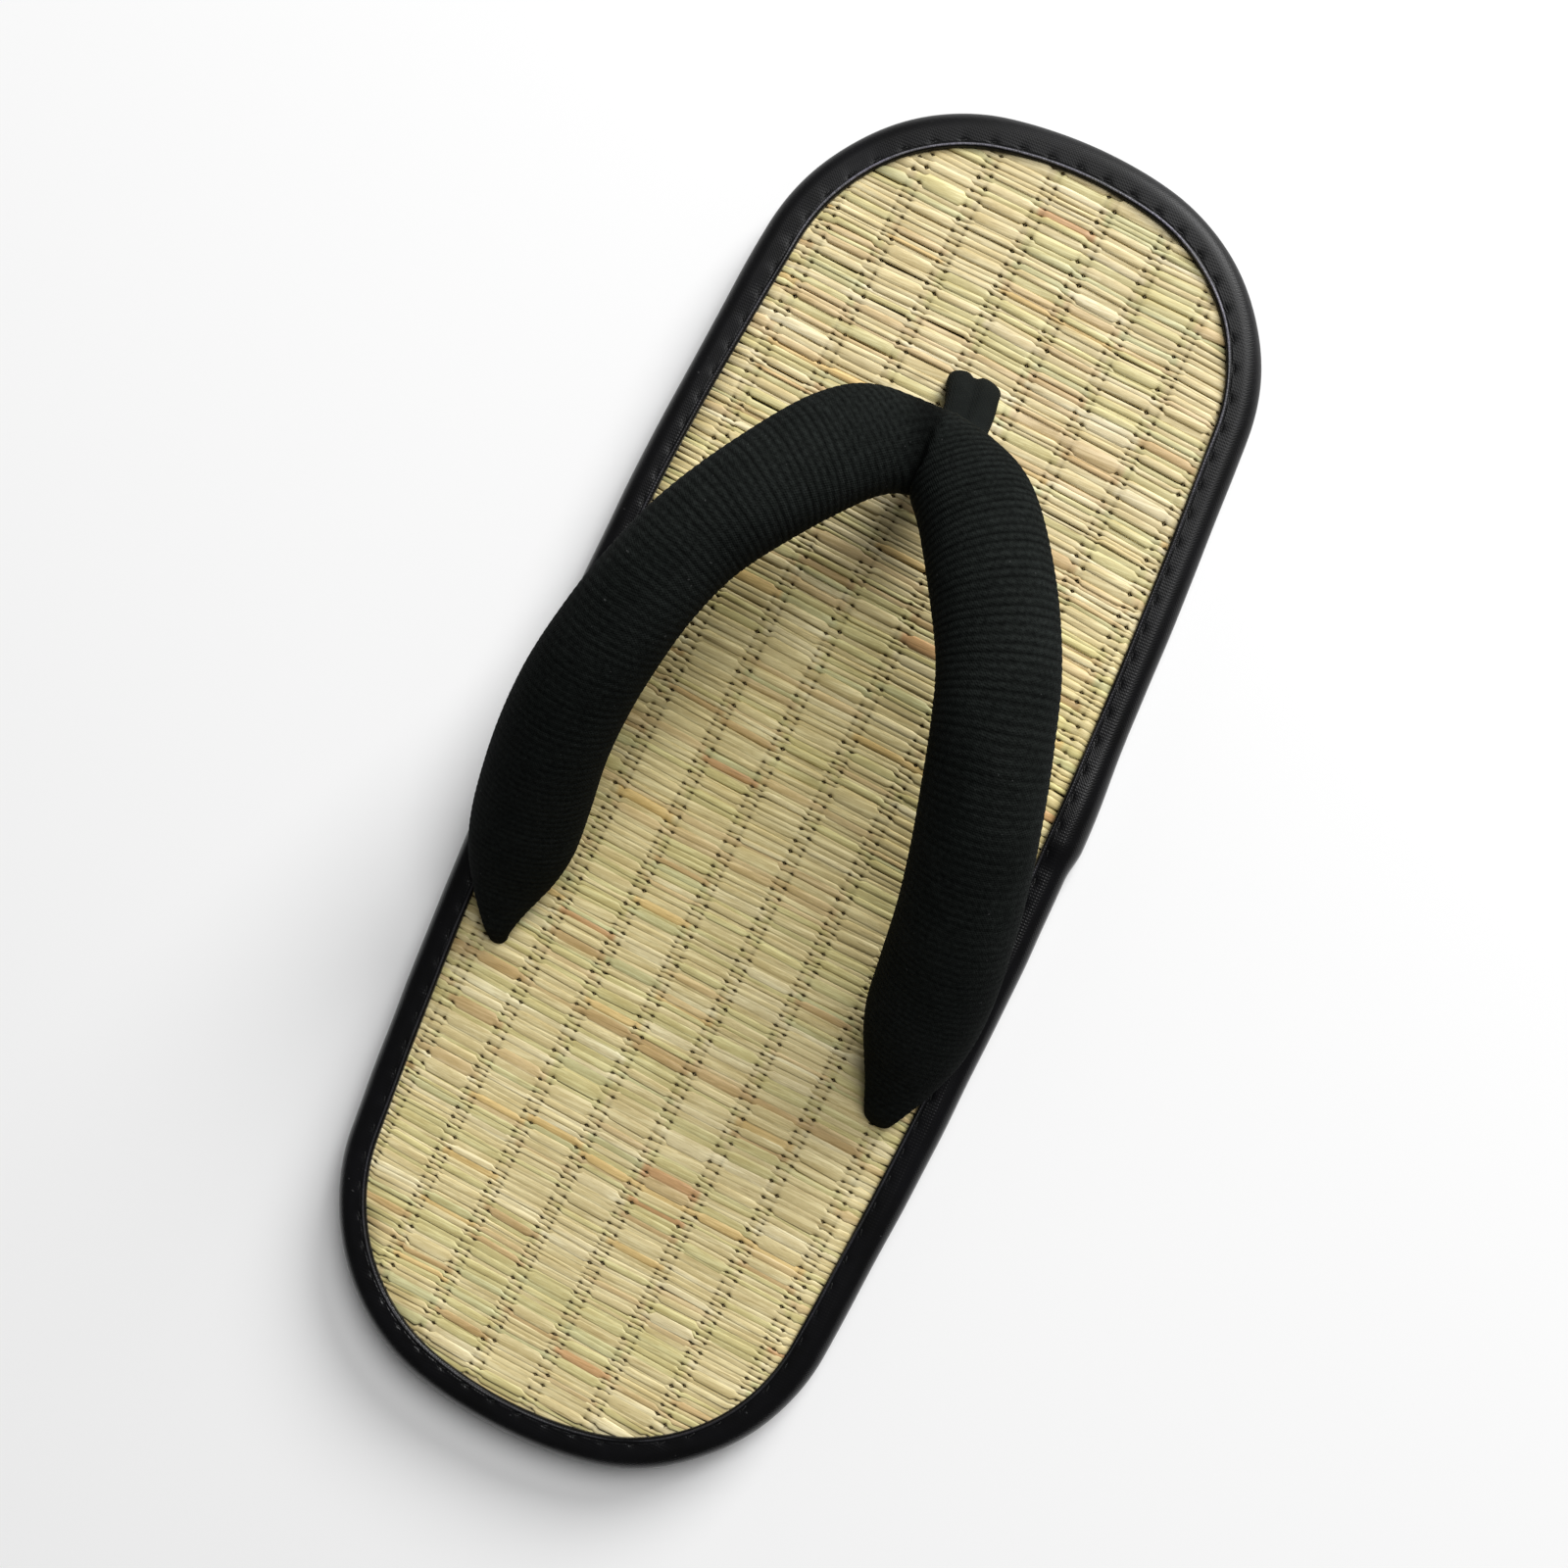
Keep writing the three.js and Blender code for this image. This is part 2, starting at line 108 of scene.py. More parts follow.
# The tape reaches further in at the toe, most of all on the wearer's left.
TOE_FLANGE_EXTRA = 1.2
TOE_FLANGE_Y = (40.0, 95.0)
TOE_FLANGE_MIDDLE = 0.6
TOE_FLANGE_LEFT = 0.4
FLANGE_FROM_INSET = ROLL_RADIUS + 0.1

# Sewing along the tape. A stitch lies a little aslant and bows up in its middle.
STITCH_PITCH = 5.3
STITCH_LENGTH = 1.6
STITCH_LENGTH_RANGE = (0.9, 1.08)
STITCH_RADIUS = 0.2
STITCH_PULL = 0.26
STITCH_DIMPLE = 0.8
STITCH_SLANT = 0.35
STITCH_ASKEW = 0.06
STITCH_BOW = 0.1
STITCH_BLUNT = 8
STITCH_TIP = 0.04
STITCH_SIDES = 6
STITCH_STEPS = 9

# Thin folded edge of the tape, a bright line beside the mat, with a painted highlight that grows towards
# the toe.
FOLD_INSET = 5.3
FOLD_RADIUS = 0.24
FOLD_SIDES = 8
FOLD_HEIGHT = 10.5
FOLD_TOE_LIGHT = 8.0
FOLD_LIGHT_Y = (60.0, 112.0)

# Levels of the rush mat and of the backing under it.
SOLE_TOP = 7.5
MAT_TOP = 10.05
MAT_BASE_TOP = 8.9
MAT_EDGE_INSET = 1.4
BACKING_SHOULDER = 8.0
BACKING_TAPER = 0.1
BACKING_STATION = 4.0

# The mat is pressed smooth up to the first of these places and is fresh from the second on. STEM_SLOPE,
# STEM_OVERLAP, PROUD_LIFT, PROUD_SHADE and BUNDLE_DRAW hold a value for the toe and one for the heel.
WEAR_Y = (-45.0, 30.0)

# Warp cords, lengthwise in pairs: pitch of the pairs, where the middle pair stands, and their slant.
WARP_PITCH = 11.2
WARP_START = -5.0
WARP_SLANT = math.tan(math.radians(1.4))
WARP_PAIR_HALF = 1.05
WARP_PAIRS = range(-4, 5)
WARP_RADIUS = 0.1
WARP_SIDES = 5
WARP_DEPTH = 0.5
WARP_DIP = 0.12
WARP_LEAST_POINTS = 8

# Rush stems across the foot. A stem has its own thickness all along it, spread by STEM_VARIETY, and its
# width in each column between warp pairs is spread by STEM_UNLIKE.
STEM_PITCH = 1.1
STEM_SEED = 5
STEM_VARIETY = 0.24
STEM_UNLIKE = 0.14
THIN_SHARE = 0.07
THIN_WIDTH = 0.7
STEM_DEPTH = 0.5
STEM_PROFILE = ((-1.0, -0.5), (-0.74, 0.62), (-0.27, 0.96), (0.27, 0.96), (0.74, 0.62), (1.0, -0.5))
STEM_SIDES = len(STEM_PROFILE)
SHORTEST_STEM = 12.0
STEM_SLOPE = (-0.072, -0.038)
STEM_TILT = 0.14
STEM_UNEVEN = 0.075
MOST_UNEVEN = 0.12
STEM_OVERLAP = (1.36, 1.52)
HEEL_FLATTEN = 0.55

# Stems end under the tape and are pressed down beside it.
STEM_END_INSET = 4.7
STEM_END_CLEAR = 0.3
STEM_END_SAMPLES = 801
STEM_PRESS_INSET = (5.4, 7.6)
STEM_PRESS_DEPTH = 0.55

# Every second stem of a column stands proud: higher and wider than its neighbours, lighter by painted
# light while they are darker by painted shade.
PROUD_LIFT = (0.055, 0.025)
PROUD_WIDTH = 0.1
PROUD_SHADE = (0.045, 0.025)

# Neighbours are drawn together in pairs at the cords, by shares of PAIRING, and a little in between.
PAIRING = 0.175
PAIRING_RANGE = (-0.4, 1.6)
LOOSE_PAIRING = 0.065

# Neighbouring stems lie in bundles, drawn to the bundle's middle. The drift that widths add up to is
# taken out over DRIFT_REACH stems to each side.
FEWEST_IN_BUNDLE = 2
MOST_IN_BUNDLE = 6
BUNDLE_DRAW = (0.055, 0.045)
DRIFT_REACH = 3

# Points along a stem, from the middle of a warp pair: inside the pair, at the cord, just past it, loose.
# They come again mirrored before the next pair. A loose point moves aside freely, one just past the cord
# by a share, and the others not at all.
STEM_MARKS = (0.4, WARP_PAIR_HALF, 1.6, 2.1)
AT_CORD = 1
PAST_CORD = 2
LOOSE = 3
PAST_CORD_FREE = 0.7

# Form of a stem at the three tight kinds of point: first a low stem, then a proud one. The shades are
# painted shade, deepest where a low stem dips at the cord.
TIGHT_WIDTHS = np.array([[1.14, 0.88, 1.24], [1.14, 0.88, 1.34]])
TIGHT_LIFTS = np.array([[-0.12, -0.14, -0.06], [-0.1, -0.04, 0.0]])
TIGHT_SHADES = np.array([[0.92, 0.78, 0.97], [0.95, 0.88, 1.0]])

# Slow bends that neighbouring stems share: height, and radians for each millimetre of x and y.
SWAYS = ((0.16, 0.07, 0.021), (0.1, 0.19, -0.05))

# Tint of the stems: shares that take their bundle's or a stray colour, spread of the brightness, and how
# blue drifts along the foot, a painted tone of light and shade: yellower in the shaded middle, whiter at
# the lit toe.
BUNDLE_COLOUR_SHARE = 0.25
STRAY_COLOUR_SHARE = 0.5
TINT_SPREAD = 0.03
TINT_LIMITS = (0.85, 1.12)
BLUE_DRIFT_Y = (-70.0, -5.0, 25.0, 65.0)
BLUE_DRIFT = (0.99, 0.91, 0.91, 1.06)

# Right half of the strap, from the tail in its slot to the apex on the middle plane. Columns: inner edge
# x and y, outer edge x and y, lift of the middle above the mat, depth, and how much narrower the left arm
# is there, below zero where it is fuller.
STRAP_SECTIONS = (
    (34.9, -47.4, 39.7, -47.9, -5.6, 2.2, 1.4),
    (34.8, -45.8, 40.0, -46.4, -0.6, 2.6, 1.8),
    (34.0, -43.2, 41.0, -44.4, 2.4, 4.0, 1.5),
    (32.3, -38.8, 43.1, -40.2, 4.4, 7.0, 0.9),
    (29.6, -33.0, 45.6, -34.6, 6.8, 11.6, 0.4),
    (27.7, -26.6, 47.4, -27.8, 10.6, 15.6, 0.4),
    (27.1, -19.1, 47.9, -19.4, 16.0, 17.4, 0.6),
    (26.5, -9.4, 47.0, -8.6, 24.0, 17.8, 0.8),
    (25.0, 0.2, 45.3, 2.3, 30.0, 17.8, 1.0),
    (22.9, 9.4, 42.9, 13.0, 34.3, 17.8, 1.6),
    (20.5, 18.4, 40.1, 23.0, 36.5, 17.8, 2.0),
    (17.2, 27.5, 35.9, 35.2, 36.2, 17.8, 2.2),
    (11.8, 36.7, 29.0, 48.0, 34.0, 17.4, 1.8),
    (5.3, 46.3, 19.8, 60.0, 29.5, 16.4, 0.2),
    (1.5, 50.8, 11.0, 65.3, 25.6, 14.8, -1.1),
    (1.1, 51.9, 0.5, 67.6, 24.2, 13.2, 0.0),
)
# The right arm and the apex stand this far to the right of the left arm's mirror.
STRAP_LEAN = 0.9
STRAP_BASE = 10.1
STRAP_SIDES = 44
STRAP_STATION = 0.32
STRAP_SAMPLES = 4000

# Ribs round the strap, with painted shade between them and a painted highlight on top. They are low at
# the tails, and their painted shade and highlight grow weaker over RIB_FADE, counted from the apex along
# each arm.
RIB_PITCH = 1.36
RIB_HEIGHT = 0.13
RIB_ROUND = 0.7
RIB_TAIL = 14.0
RIB_SHADE = 0.4
RIB_LIGHT = 1.45
RIB_LIGHT_NARROW = 1.5
RIB_FADE = (36.0, 72.0)
RIB_REAR_SHARE = 0.4
MITRE_REACH = 18.0

# Stuffing of the strap: a slack tube is blown up by cloth simulation and its swell kept in bounds.
STUFF_STEP = 7
STUFF_SIDES = 22
STUFF_SLACK = 0.98
STUFF_PRESSURE = 4.0
STUFF_FRAMES = 20
STUFF_CAP = 1.1
STUFF_HELD_TAIL = 16.0
STUFF_HELD_APEX = 3.0

# Crease across the apex where the arms meet, shallower on the underside and darkened by painted shade. It
# is CREASE_WIDTH wide on the right arm and TUCK_WIDTH on the left.
CREASE_DEPTH = 2.0
CREASE_WIDTH = 1.2
CREASE_UNDER_SHARE = 0.15
TUCK_WIDTH = 3.4
TUCK_SHADE = 0.62

# Toe loop, leaning to the right as it climbs. Columns: x, y, lift above the mat, width, depth.
LOOP_SECTIONS = (
    (0.5, 77.0, -5.6, 8.6, 4.2),
    (0.5, 77.0, 0.0, 9.8, 4.8),
    (1.1, 75.6, 4.2, 9.8, 5.2),
    (2.7, 71.0, 9.6, 9.0, 4.8),
    (3.6, 64.6, 15.2, 8.4, 4.6),
    (3.8, 60.0, 19.4, 7.6, 4.4),
)
LOOP_SIDES = 40
LOOP_STEPS = 60
LOOP_FOLD = 0.34
LOOP_FOLD_X = -0.4
LOOP_FOLD_WIDTH = 1.0
LOOP_BOXY = 0.7

# Camera: above the wearer's right edge, turned so that the toe points up and to the right.
EYE = (54.0, 2.8, 400.0)
AIM = (-1.0, 0.0, 10.0)
TOE_TURN = math.radians(24.8)
FRAME_WIDTH = 276.0
SENSOR = 36.0
CLIP_START = 10.0

# Floor, and lights aimed at the origin. Columns: name, place, size and power in watts.
FLOOR_REACH = 3000.0
FLOOR_GREY = 0.9
LIGHTS = (
    ("toe_softbox", (400.0, 1000.0, 2000.0), 1200.0, 30.0),
    ("toe_low", (600.0, 2000.0, 1100.0), 1200.0, 60.0),
)
WORLD_STRENGTH = 0.1


def smoothstep(low, high, value):
    """Zero at low and one at high, with a soft start and end."""
    share = np.clip((value - low) / (high - low), 0.0, 1.0)
    return share * share * (3.0 - 2.0 * share)


def wobble(run, length, height):
    """Smooth random wave along a run, fading out at its start and end so that it meets itself."""
    total = np.zeros_like(run)
    for _ in range(SINES):
        phase = RNG.uniform(0, 2 * math.pi)
        rate = 2 * math.pi / (length * RNG.uniform(*SINE_LENGTHS))
        total += np.sin(run * rate + phase)
    fade = smoothstep(0.0, SEAM_FADE, run) * smoothstep(run[-1], run[-1] - SEAM_FADE, run)
    return total / math.sqrt(SINES) * height * fade


# Meshes

def add_object(name, points, faces, material, smooth=True, tints=None):
    """Mesh object from points in millimetres, with an optional colour at each point."""
    mesh = bpy.data.meshes.new(name)
    mesh.from_pydata((np.asarray(points) * MM).tolist(), [], faces)
    mesh.polygons.foreach_set("use_smooth", [smooth] * len(mesh.polygons))
    if tints is not None:
        layer = mesh.color_attributes.new("tint", "FLOAT_COLOR", "POINT")
        layer.data.foreach_set("color", np.asarray(tints, dtype=np.float32).ravel())
    if material is not None:
        mesh.materials.append(material)
    mesh.update()
    piece = bpy.data.objects.new(name, mesh)
    bpy.context.scene.collection.objects.link(piece)
    return piece


def ring_faces(rings, sides, start=0, joined=False):
    """Quads between rings of points, and end caps unless the last ring joins the first."""
    faces = []
    spans = rings if joined else rings - 1
    for ring in range(spans):
        here = start + ring * sides
        there = start + ((ring + 1) % rings) * sides
        for side in range(sides):
            after = (side + 1) % sides
            faces.append((here + side, here + after, there + after, there + side))
    if not joined:
        last = start + (rings - 1) * sides
        faces.append(tuple(range(start + sides - 1, start - 1, -1)))
        faces.append(tuple(range(last, last + sides)))
    return faces


def add_rings(name, rings, material, joined=False, **looks):
    """Mesh object from an array of rings of points."""
    count, sides, _ = rings.shape
    faces = ring_faces(count, sides, joined=joined)
    return add_object(name, rings.reshape(-1, 3), faces, material, **looks)


class Tubes:
    """Many closed tubes, gathered into one mesh object."""

    def __init__(self):
        self.points = []
        self.faces = []
        self.count = 0

    def add(self, x, y, z):
        """Adds a tube by the coordinates of its rings, one ring in each row."""
        rings, sides = x.shape
        self.points.append(np.stack([x, y, z], axis=-1).reshape(-1, 3))
        self.faces.extend(ring_faces(rings, sides, self.count))
        self.count += rings * sides

    def add_round(self, x, y, z, across, radius, sides):
        """Adds a round tube along points, with the level direction across it."""
        turn = turns(sides)
        radius = np.broadcast_to(radius, x.shape)[:, None]
        reach = np.cos(turn)[None, :] * radius
        rise = np.sin(turn)[None, :] * radius
        self.add(x[:, None] + across[0] * reach, y[:, None] + across[1] * reach, z[:, None] + rise)

    def finish(self, name, material, tints=None):
        return add_object(name, np.concatenate(self.points), self.faces, material, tints=tints)


def turns(sides):
    """Angles of a ring's points, all the way round."""
    return np.linspace(0, 2 * math.pi, sides, endpoint=False)


def grey_tints(shade):
    """Grey colour of each point, from the shades of rings of points."""
    tints = np.ones(shade.shape + (4,))
    tints[..., :3] = shade[:, :, None]
    return tints.reshape(-1, 4)


def dress(piece, slot, *nodes):
    """Rides on the one body and stands for the CAD nodes named. The slot is not used."""
    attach(piece, "root")
    if nodes:
        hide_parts(*nodes)
    return piece


# Plan of the sandal

def quarter_arcs():
    """Side, corner and end arc of a quarter plan: centre, radius, and angles from and to."""
    side = np.array([PLAN_WIDTH / 2 - SIDE_RADIUS, 0.0])
    end = np.array([0.0, PLAN_LENGTH / 2 - END_RADIUS])
    to_side = SIDE_RADIUS - CORNER_RADIUS
    to_end = END_RADIUS - CORNER_RADIUS
    apart = np.linalg.norm(end - side)
    along = (to_side**2 - to_end**2 + apart**2) / (2 * apart)
    across = math.sqrt(to_side**2 - along**2)
    ux, uy = (end - side) / apart
    corner = side + along * np.array([ux, uy]) + across * np.array([-uy, ux])
    leave_side = math.atan2(corner[1] - side[1], corner[0] - side[0])
    meet_end = math.atan2(corner[1] - end[1], corner[0] - end[0])
    return (
        (side, SIDE_RADIUS, 0.0, leave_side),
        (corner, CORNER_RADIUS, leave_side, meet_end),
        (end, END_RADIUS, meet_end, math.pi / 2),
    )


ARCS = quarter_arcs()


def plan_angles(station):
    """Angles of the outward normal all the way round, about a station apart."""
    quarter = []
    for _, radius, low, high in ARCS:
        steps = math.ceil(radius * (high - low) / station)
        quarter.extend(np.linspace(low, high, steps, endpoint=False))
    quarter = np.array(quarter)
    back = math.pi - quarter[:0:-1]
    half = np.concatenate([quarter, [math.pi / 2], back])
    return np.concatenate([half, half + math.pi])


def plan_points(angles, inset):
    """Points of the plan at the normals' angles, moved in by inset."""
    cos, sin = np.cos(angles), np.sin(angles)
    folded = np.arctan2(np.abs(sin), np.abs(cos))
    x = np.zeros_like(folded)
    y = np.zeros_like(folded)
    for centre, radius, low, high in ARCS:
        here = (folded >= low - 1e-9) & (folded <= high + 1e-9)
        reach = radius - inset
        x[here] = (centre[0] + reach * np.cos(folded))[here]
        y[here] = (centre[1] + reach * np.sin(folded))[here]
    return bent(np.sign(cos) * x, np.sign(sin) * y)


def plan_ring(angles, inset, z):
    """Points of the plan moved in by inset, at a height."""
    x, y = plan_points(angles, inset)
    return np.stack([x, y, np.broadcast_to(z, x.shape)], axis=-1)


def bent(x, y, way=1.0):
    """Points moved as the toe bends, or moved back."""
    share = np.maximum(y - TOE_BEND_FROM_Y, 0.0) / TOE_BEND_LENGTH
    slope = 2 * TOE_BEND * share / TOE_BEND_LENGTH
    return x + way * TOE_BEND * share**2, y - way * x * slope


def toe_flange(x, y):
    """Extra reach of the tape's upper flange: none but at the toe."""
    share = smoothstep(*TOE_FLANGE_Y, y)
    return TOE_FLANGE_EXTRA * share * (TOE_FLANGE_MIDDLE - TOE_FLANGE_LEFT * x / (PLAN_WIDTH / 2))


def flange_at(angles):
    """Extra reach of the flange at the plan's angles."""
    return toe_flange(*plan_points(angles, 0.0))


def from_tape(x, y):
    """How far points lie inside the plan's edge, less what the tape's wider toe takes."""
    return inset_of(x, y) - toe_flange(x, y)


def inset_of(x, y):
    """How far points lie inside the plan's edge."""
    straight_x, straight_y = bent(x, y, -1.0)
    ax, ay = np.abs(straight_x), np.abs(straight_y)
    to_side, to_corner, to_end = (radius - np.hypot(ax - centre[0], ay - centre[1])
                                  for centre, radius, _, _ in ARCS)
    (side, _, _, leave_side), _, (end, _, meet_end, _) = ARCS
    by_side = np.arctan2(ay - side[1], ax - side[0]) <= leave_side
    by_end = np.arctan2(ay - end[1], ax - end[0]) >= meet_end
    return np.where(by_side & by_end, np.minimum(to_side, to_end),
                    np.where(by_side, to_side, np.where(by_end, to_end, to_corner)))


# Materials. Their lengths and thread pitches are in metres, as the shaders take them.

WEAVE_DEPTH = 0.00006


def linear(red, green, blue):
    """Linear colour of a display colour given in 0 to 255."""
    def one(value):
        share = value / 255
        return share / 12.92 if share <= 0.04045 else ((share + 0.055) / 1.055) ** 2.4
    return (one(red), one(green), one(blue), 1.0)


class Shader:
    """Small helper for a Principled material's nodes."""

    def __init__(self, name, **sockets):
        self.material = bpy.data.materials.new(name)
        self.material.use_nodes = True
        self.tree = self.material.node_tree
        self.bsdf = self.tree.nodes["Principled BSDF"]
        for socket, value in sockets.items():
            self.bsdf.inputs[socket.replace("_", " ")].default_value = value

    def node(self, kind, **settings):
        """New node with its properties or its inputs' values set."""
        made = self.tree.nodes.new(kind)
        for key, value in settings.items():
            if hasattr(made, key):
                setattr(made, key, value)
            else:
                made.inputs[key.replace("_", " ")].default_value = value
        return made

    def link(self, source, target):
        self.tree.links.new(source, target)

    def feed(self, socket, source):
        """Joins an output to an input of the material itself."""
        self.link(source, self.bsdf.inputs[socket])

    def combine(self, operation, *sources):
        """A sum, product or function of outputs."""
        made = self.node("ShaderNodeMath", operation=operation)
        for place, source in enumerate(sources):
            self.link(source, made.inputs[place])
        return made.outputs[0]

    def tint(self):
        """Colours stored at the mesh's points."""
        return self.node("ShaderNodeAttribute", attribute_name="tint").outputs["Color"]

    def coordinates(self, scale):
        """Object coordinates with a scale along each axis, in features a metre."""
        place = self.node("ShaderNodeTexCoord")
        mapping = self.node("ShaderNodeMapping", Scale=scale)
        self.link(place.outputs["Object"], mapping.inputs["Vector"])
        return mapping.outputs["Vector"]

    def axis(self, coordinates, letter):
        parts = self.node("ShaderNodeSeparateXYZ")
        self.link(coordinates, parts.inputs["Vector"])
        return parts.outputs[letter]

    def noise(self, scale, detail=2.0, roughness=0.5):
        texture = self.node("ShaderNodeTexNoise", Scale=1.0, Detail=detail, Roughness=roughness)
        self.link(self.coordinates(scale), texture.inputs["Vector"])
        return texture.outputs["Fac"]

    def ramp(self, source, stops):
        """Colours from stops, each a place and a colour."""
        made = self.node("ShaderNodeValToRGB")
        elements = made.color_ramp.elements
        while len(elements) < len(stops):
            elements.new(0.5)
        for element, (place, colour) in zip(elements, stops):
            element.position = place
            element.color = colour
        self.link(source, made.inputs["Fac"])
        return made.outputs["Color"]

    def two_tone(self, source, dark, light, full=0.7):
        """Feeds the base colour from dark to light."""
        self.feed("Base Color", self.ramp(source, ((0.3, dark), (full, light))))

    def mix(self, blend, first, second):
        made = self.node("ShaderNodeMix", data_type="RGBA", blend_type=blend, Factor=1.0)
        self.link(first, made.inputs["A"])
        self.link(second, made.inputs["B"])
        return made.outputs["Result"]

    def bump(self, source, strength, distance):
        """Normals of a height, with its distance in metres."""
        made = self.node("ShaderNodeBump", Strength=strength, Distance=distance)
        self.link(source, made.inputs["Height"])
        return made.outputs["Normal"]

    def range(self, source, low, high):
        """Values from low to high as the source goes from zero to one."""
        made = self.node("ShaderNodeMapRange", To_Min=low, To_Max=high)
        self.link(source, made.inputs["Value"])
        return made.outputs["Result"]


def grey(value):
    """Opaque grey in linear light."""
    return (value, value, value, 1.0)


def rush_material():
    """Dry stems: each stem's own tint with fine streaks along it, satin."""
    made = Shader("rush_stems", IOR=1.45)
    streak = made.noise((70.0, 1500.0, 300.0), detail=4.0, roughness=0.7)
    streaked = made.ramp(streak, ((0.32, (0.62, 0.56, 0.45, 1.0)), (0.43, (0.98, 0.96, 0.92, 1.0)),
                                  (0.5, (0.82, 0.78, 0.68, 1.0)), (0.55, grey(1.04)), (0.7, grey(1.18))))
    blotch = made.noise((70.0, 500.0, 300.0), detail=2.0)
    blotched = made.ramp(blotch, ((0.3, (0.86, 0.82, 0.72, 1.0)), (0.6, grey(1.0))))
    streaky_tint = made.mix("MULTIPLY", made.tint(), streaked)
    made.feed("Base Color", made.mix("MULTIPLY", streaky_tint, blotched))
    made.feed("Roughness", made.range(streak, 0.62, 0.42))
    made.feed("Normal", made.bump(streak, 0.35, 0.00012))
    return made.material


def cord_material():
    """Warp cord: dull cotton, a little darker in its twist; its dark brown partly stands in for the shade
    of the holes where it shows.
    """
    made = Shader("warp_cotton", Roughness=0.85)
    twist = made.noise((2500.0, 900.0, 900.0))
    made.two_tone(twist, linear(104, 90, 60), linear(140, 124, 86))
    return made.material


def backing_material():
    """Underside of the mat: dull brown fibre, its dark tone partly a painted shade for the gaps between
    the stems.
    """
    made = Shader("mat_backing", Roughness=0.95)
    fibre = made.noise((400.0, 1500.0, 400.0))
    made.two_tone(fibre, linear(66, 54, 31), linear(116, 96, 58), full=0.75)
    return made.material


def weave_height(made, pitch):
    """Height of a fine plain weave with that thread pitch, in metres, on any face."""
    turn = 2 * math.pi / pitch
    place = made.coordinates((turn, turn, turn))
    sine_x, sine_y, sine_z = (made.combine("SINE", made.axis(place, letter)) for letter in "XYZ")
    level = made.combine("MULTIPLY", sine_x, sine_y)
    upright = made.combine("MULTIPLY", sine_y, sine_z)
    return made.combine("ADD", level, upright)


def cloth_material(name, dark, light, weave_pitch, weave_strength, ribbed=False, wear=None, **sockets):
    """Black cloth with a fine weave, soft mottling and a few specks of lint.

    Ribbed cloth takes the painted shades and painted highlights stored at the mesh's points. Wear holds
    two values of roughness: in the middle of the sandal, and at the toe, where cloth is worn dull.
    """
    made = Shader(name, **sockets)
    mottle = made.noise((90.0, 90.0, 90.0), detail=4.0, roughness=0.65)
    base = made.ramp(mottle, ((0.3, dark), (0.75, light)))
    # The tints carry painted shade and painted highlight.
    if ribbed:
        fibre = made.ramp(made.noise((1500.0, 1500.0, 1500.0), detail=2.0),
                          ((0.3, grey(0.6)), (0.5, grey(1.0)), (0.7, grey(1.4))))
        base = made.mix("MULTIPLY", made.mix("MULTIPLY", base, made.tint()), fibre)
    if wear is not None:
        forward = made.coordinates((1.0, 1.0 / (TAPE_WEAR_LENGTH * MM), 1.0))
        made.feed("Roughness", made.range(made.axis(forward, "Y"), *wear))
    lint = made.noise((1300.0, 1300.0, 1300.0), detail=0.0)
    specks = made.ramp(lint, ((0.86, grey(0.0)), (0.88, grey(0.03))))
    made.feed("Base Color", made.mix("ADD", base, specks))
    made.feed("Normal", made.bump(weave_height(made, weave_pitch), weave_strength, WEAVE_DEPTH))
    return made.material


def tape_material():
    """Edge tape: smooth black cloth with a slight shine."""
    return cloth_material(
        "tape_cloth", grey(0.0024), (0.0045, 0.0045, 0.0055, 1.0), weave_pitch=0.00055,
        weave_strength=0.16, wear=(0.26, 0.42), Specular_IOR_Level=0.22, Sheen_Weight=0.08,
        Sheen_Roughness=0.3)


def lip_material():
    """Folded lip of the tape: brighter than the tape itself, partly as a painted highlight, and lighter
    at the toe by the painted highlight in its tints.
    """
    return cloth_material(
        "tape_fold", grey(0.012), (0.021, 0.02, 0.026, 1.0), weave_pitch=0.00055, weave_strength=0.4,
        ribbed=True, Roughness=0.38, Specular_IOR_Level=0.35)


def strap_material():
    """Strap: matt ribbed cotton."""
    return cloth_material(
        "strap_cloth", (0.0055, 0.0066, 0.006, 1.0), (0.0088, 0.0103, 0.0095, 1.0), weave_pitch=0.0005,
        weave_strength=0.5, ribbed=True, Roughness=0.9, Specular_IOR_Level=0.04)


def loop_material():
    """Toe loop: matt folded cotton."""
    return cloth_material(
        "loop_cloth", (0.006, 0.0072, 0.0067, 1.0), (0.0107, 0.0125, 0.0117, 1.0), weave_pitch=0.0006,
        weave_strength=0.7, Roughness=0.95, Specular_IOR_Level=0.06)


def thread_material():
    """Sewing thread of the tape."""
    return cloth_material(
        "black_thread", grey(0.003), grey(0.005), weave_pitch=0.0003, weave_strength=0.5,
        Roughness=0.5, Specular_IOR_Level=0.25)


def foam_material():
    """Foam sole: matt black with a fine pebbled skin."""
    made = Shader("foam_sole", Roughness=0.8)
    pebble = made.noise((900.0, 900.0, 900.0), detail=3.0)
    made.two_tone(pebble, grey(0.012), grey(0.028))
    made.feed("Normal", made.bump(pebble, 0.5, 0.0003))
    return made.material


# Rush mat

STRAW = linear(220, 206, 159)
YELLOW_GREEN = linear(212, 203, 149)
CREAM = linear(230, 218, 177)
TAN = linear(215, 194, 148)
BROWN_TAN = linear(200, 174, 126)
PALE_GREEN = linear(204, 200, 152)
GOLD = linear(221, 194, 134)
RUST = linear(204, 165, 119)
BLEACHED = linear(230, 220, 180)
STEM_COLOURS = np.array([STRAW, YELLOW_GREEN, CREAM, TAN, BROWN_TAN, PALE_GREEN, GOLD, RUST, BLEACHED])
STEM_SHARES = np.array([0.5, 0.2, 0.11, 0.09, 0.025, 0.042, 0.02, 0.009, 0.004])


def warp_x(pair, y):
    """Place across the foot of the middle of a warp pair."""
    return WARP_START + WARP_PITCH * pair + WARP_SLANT * y


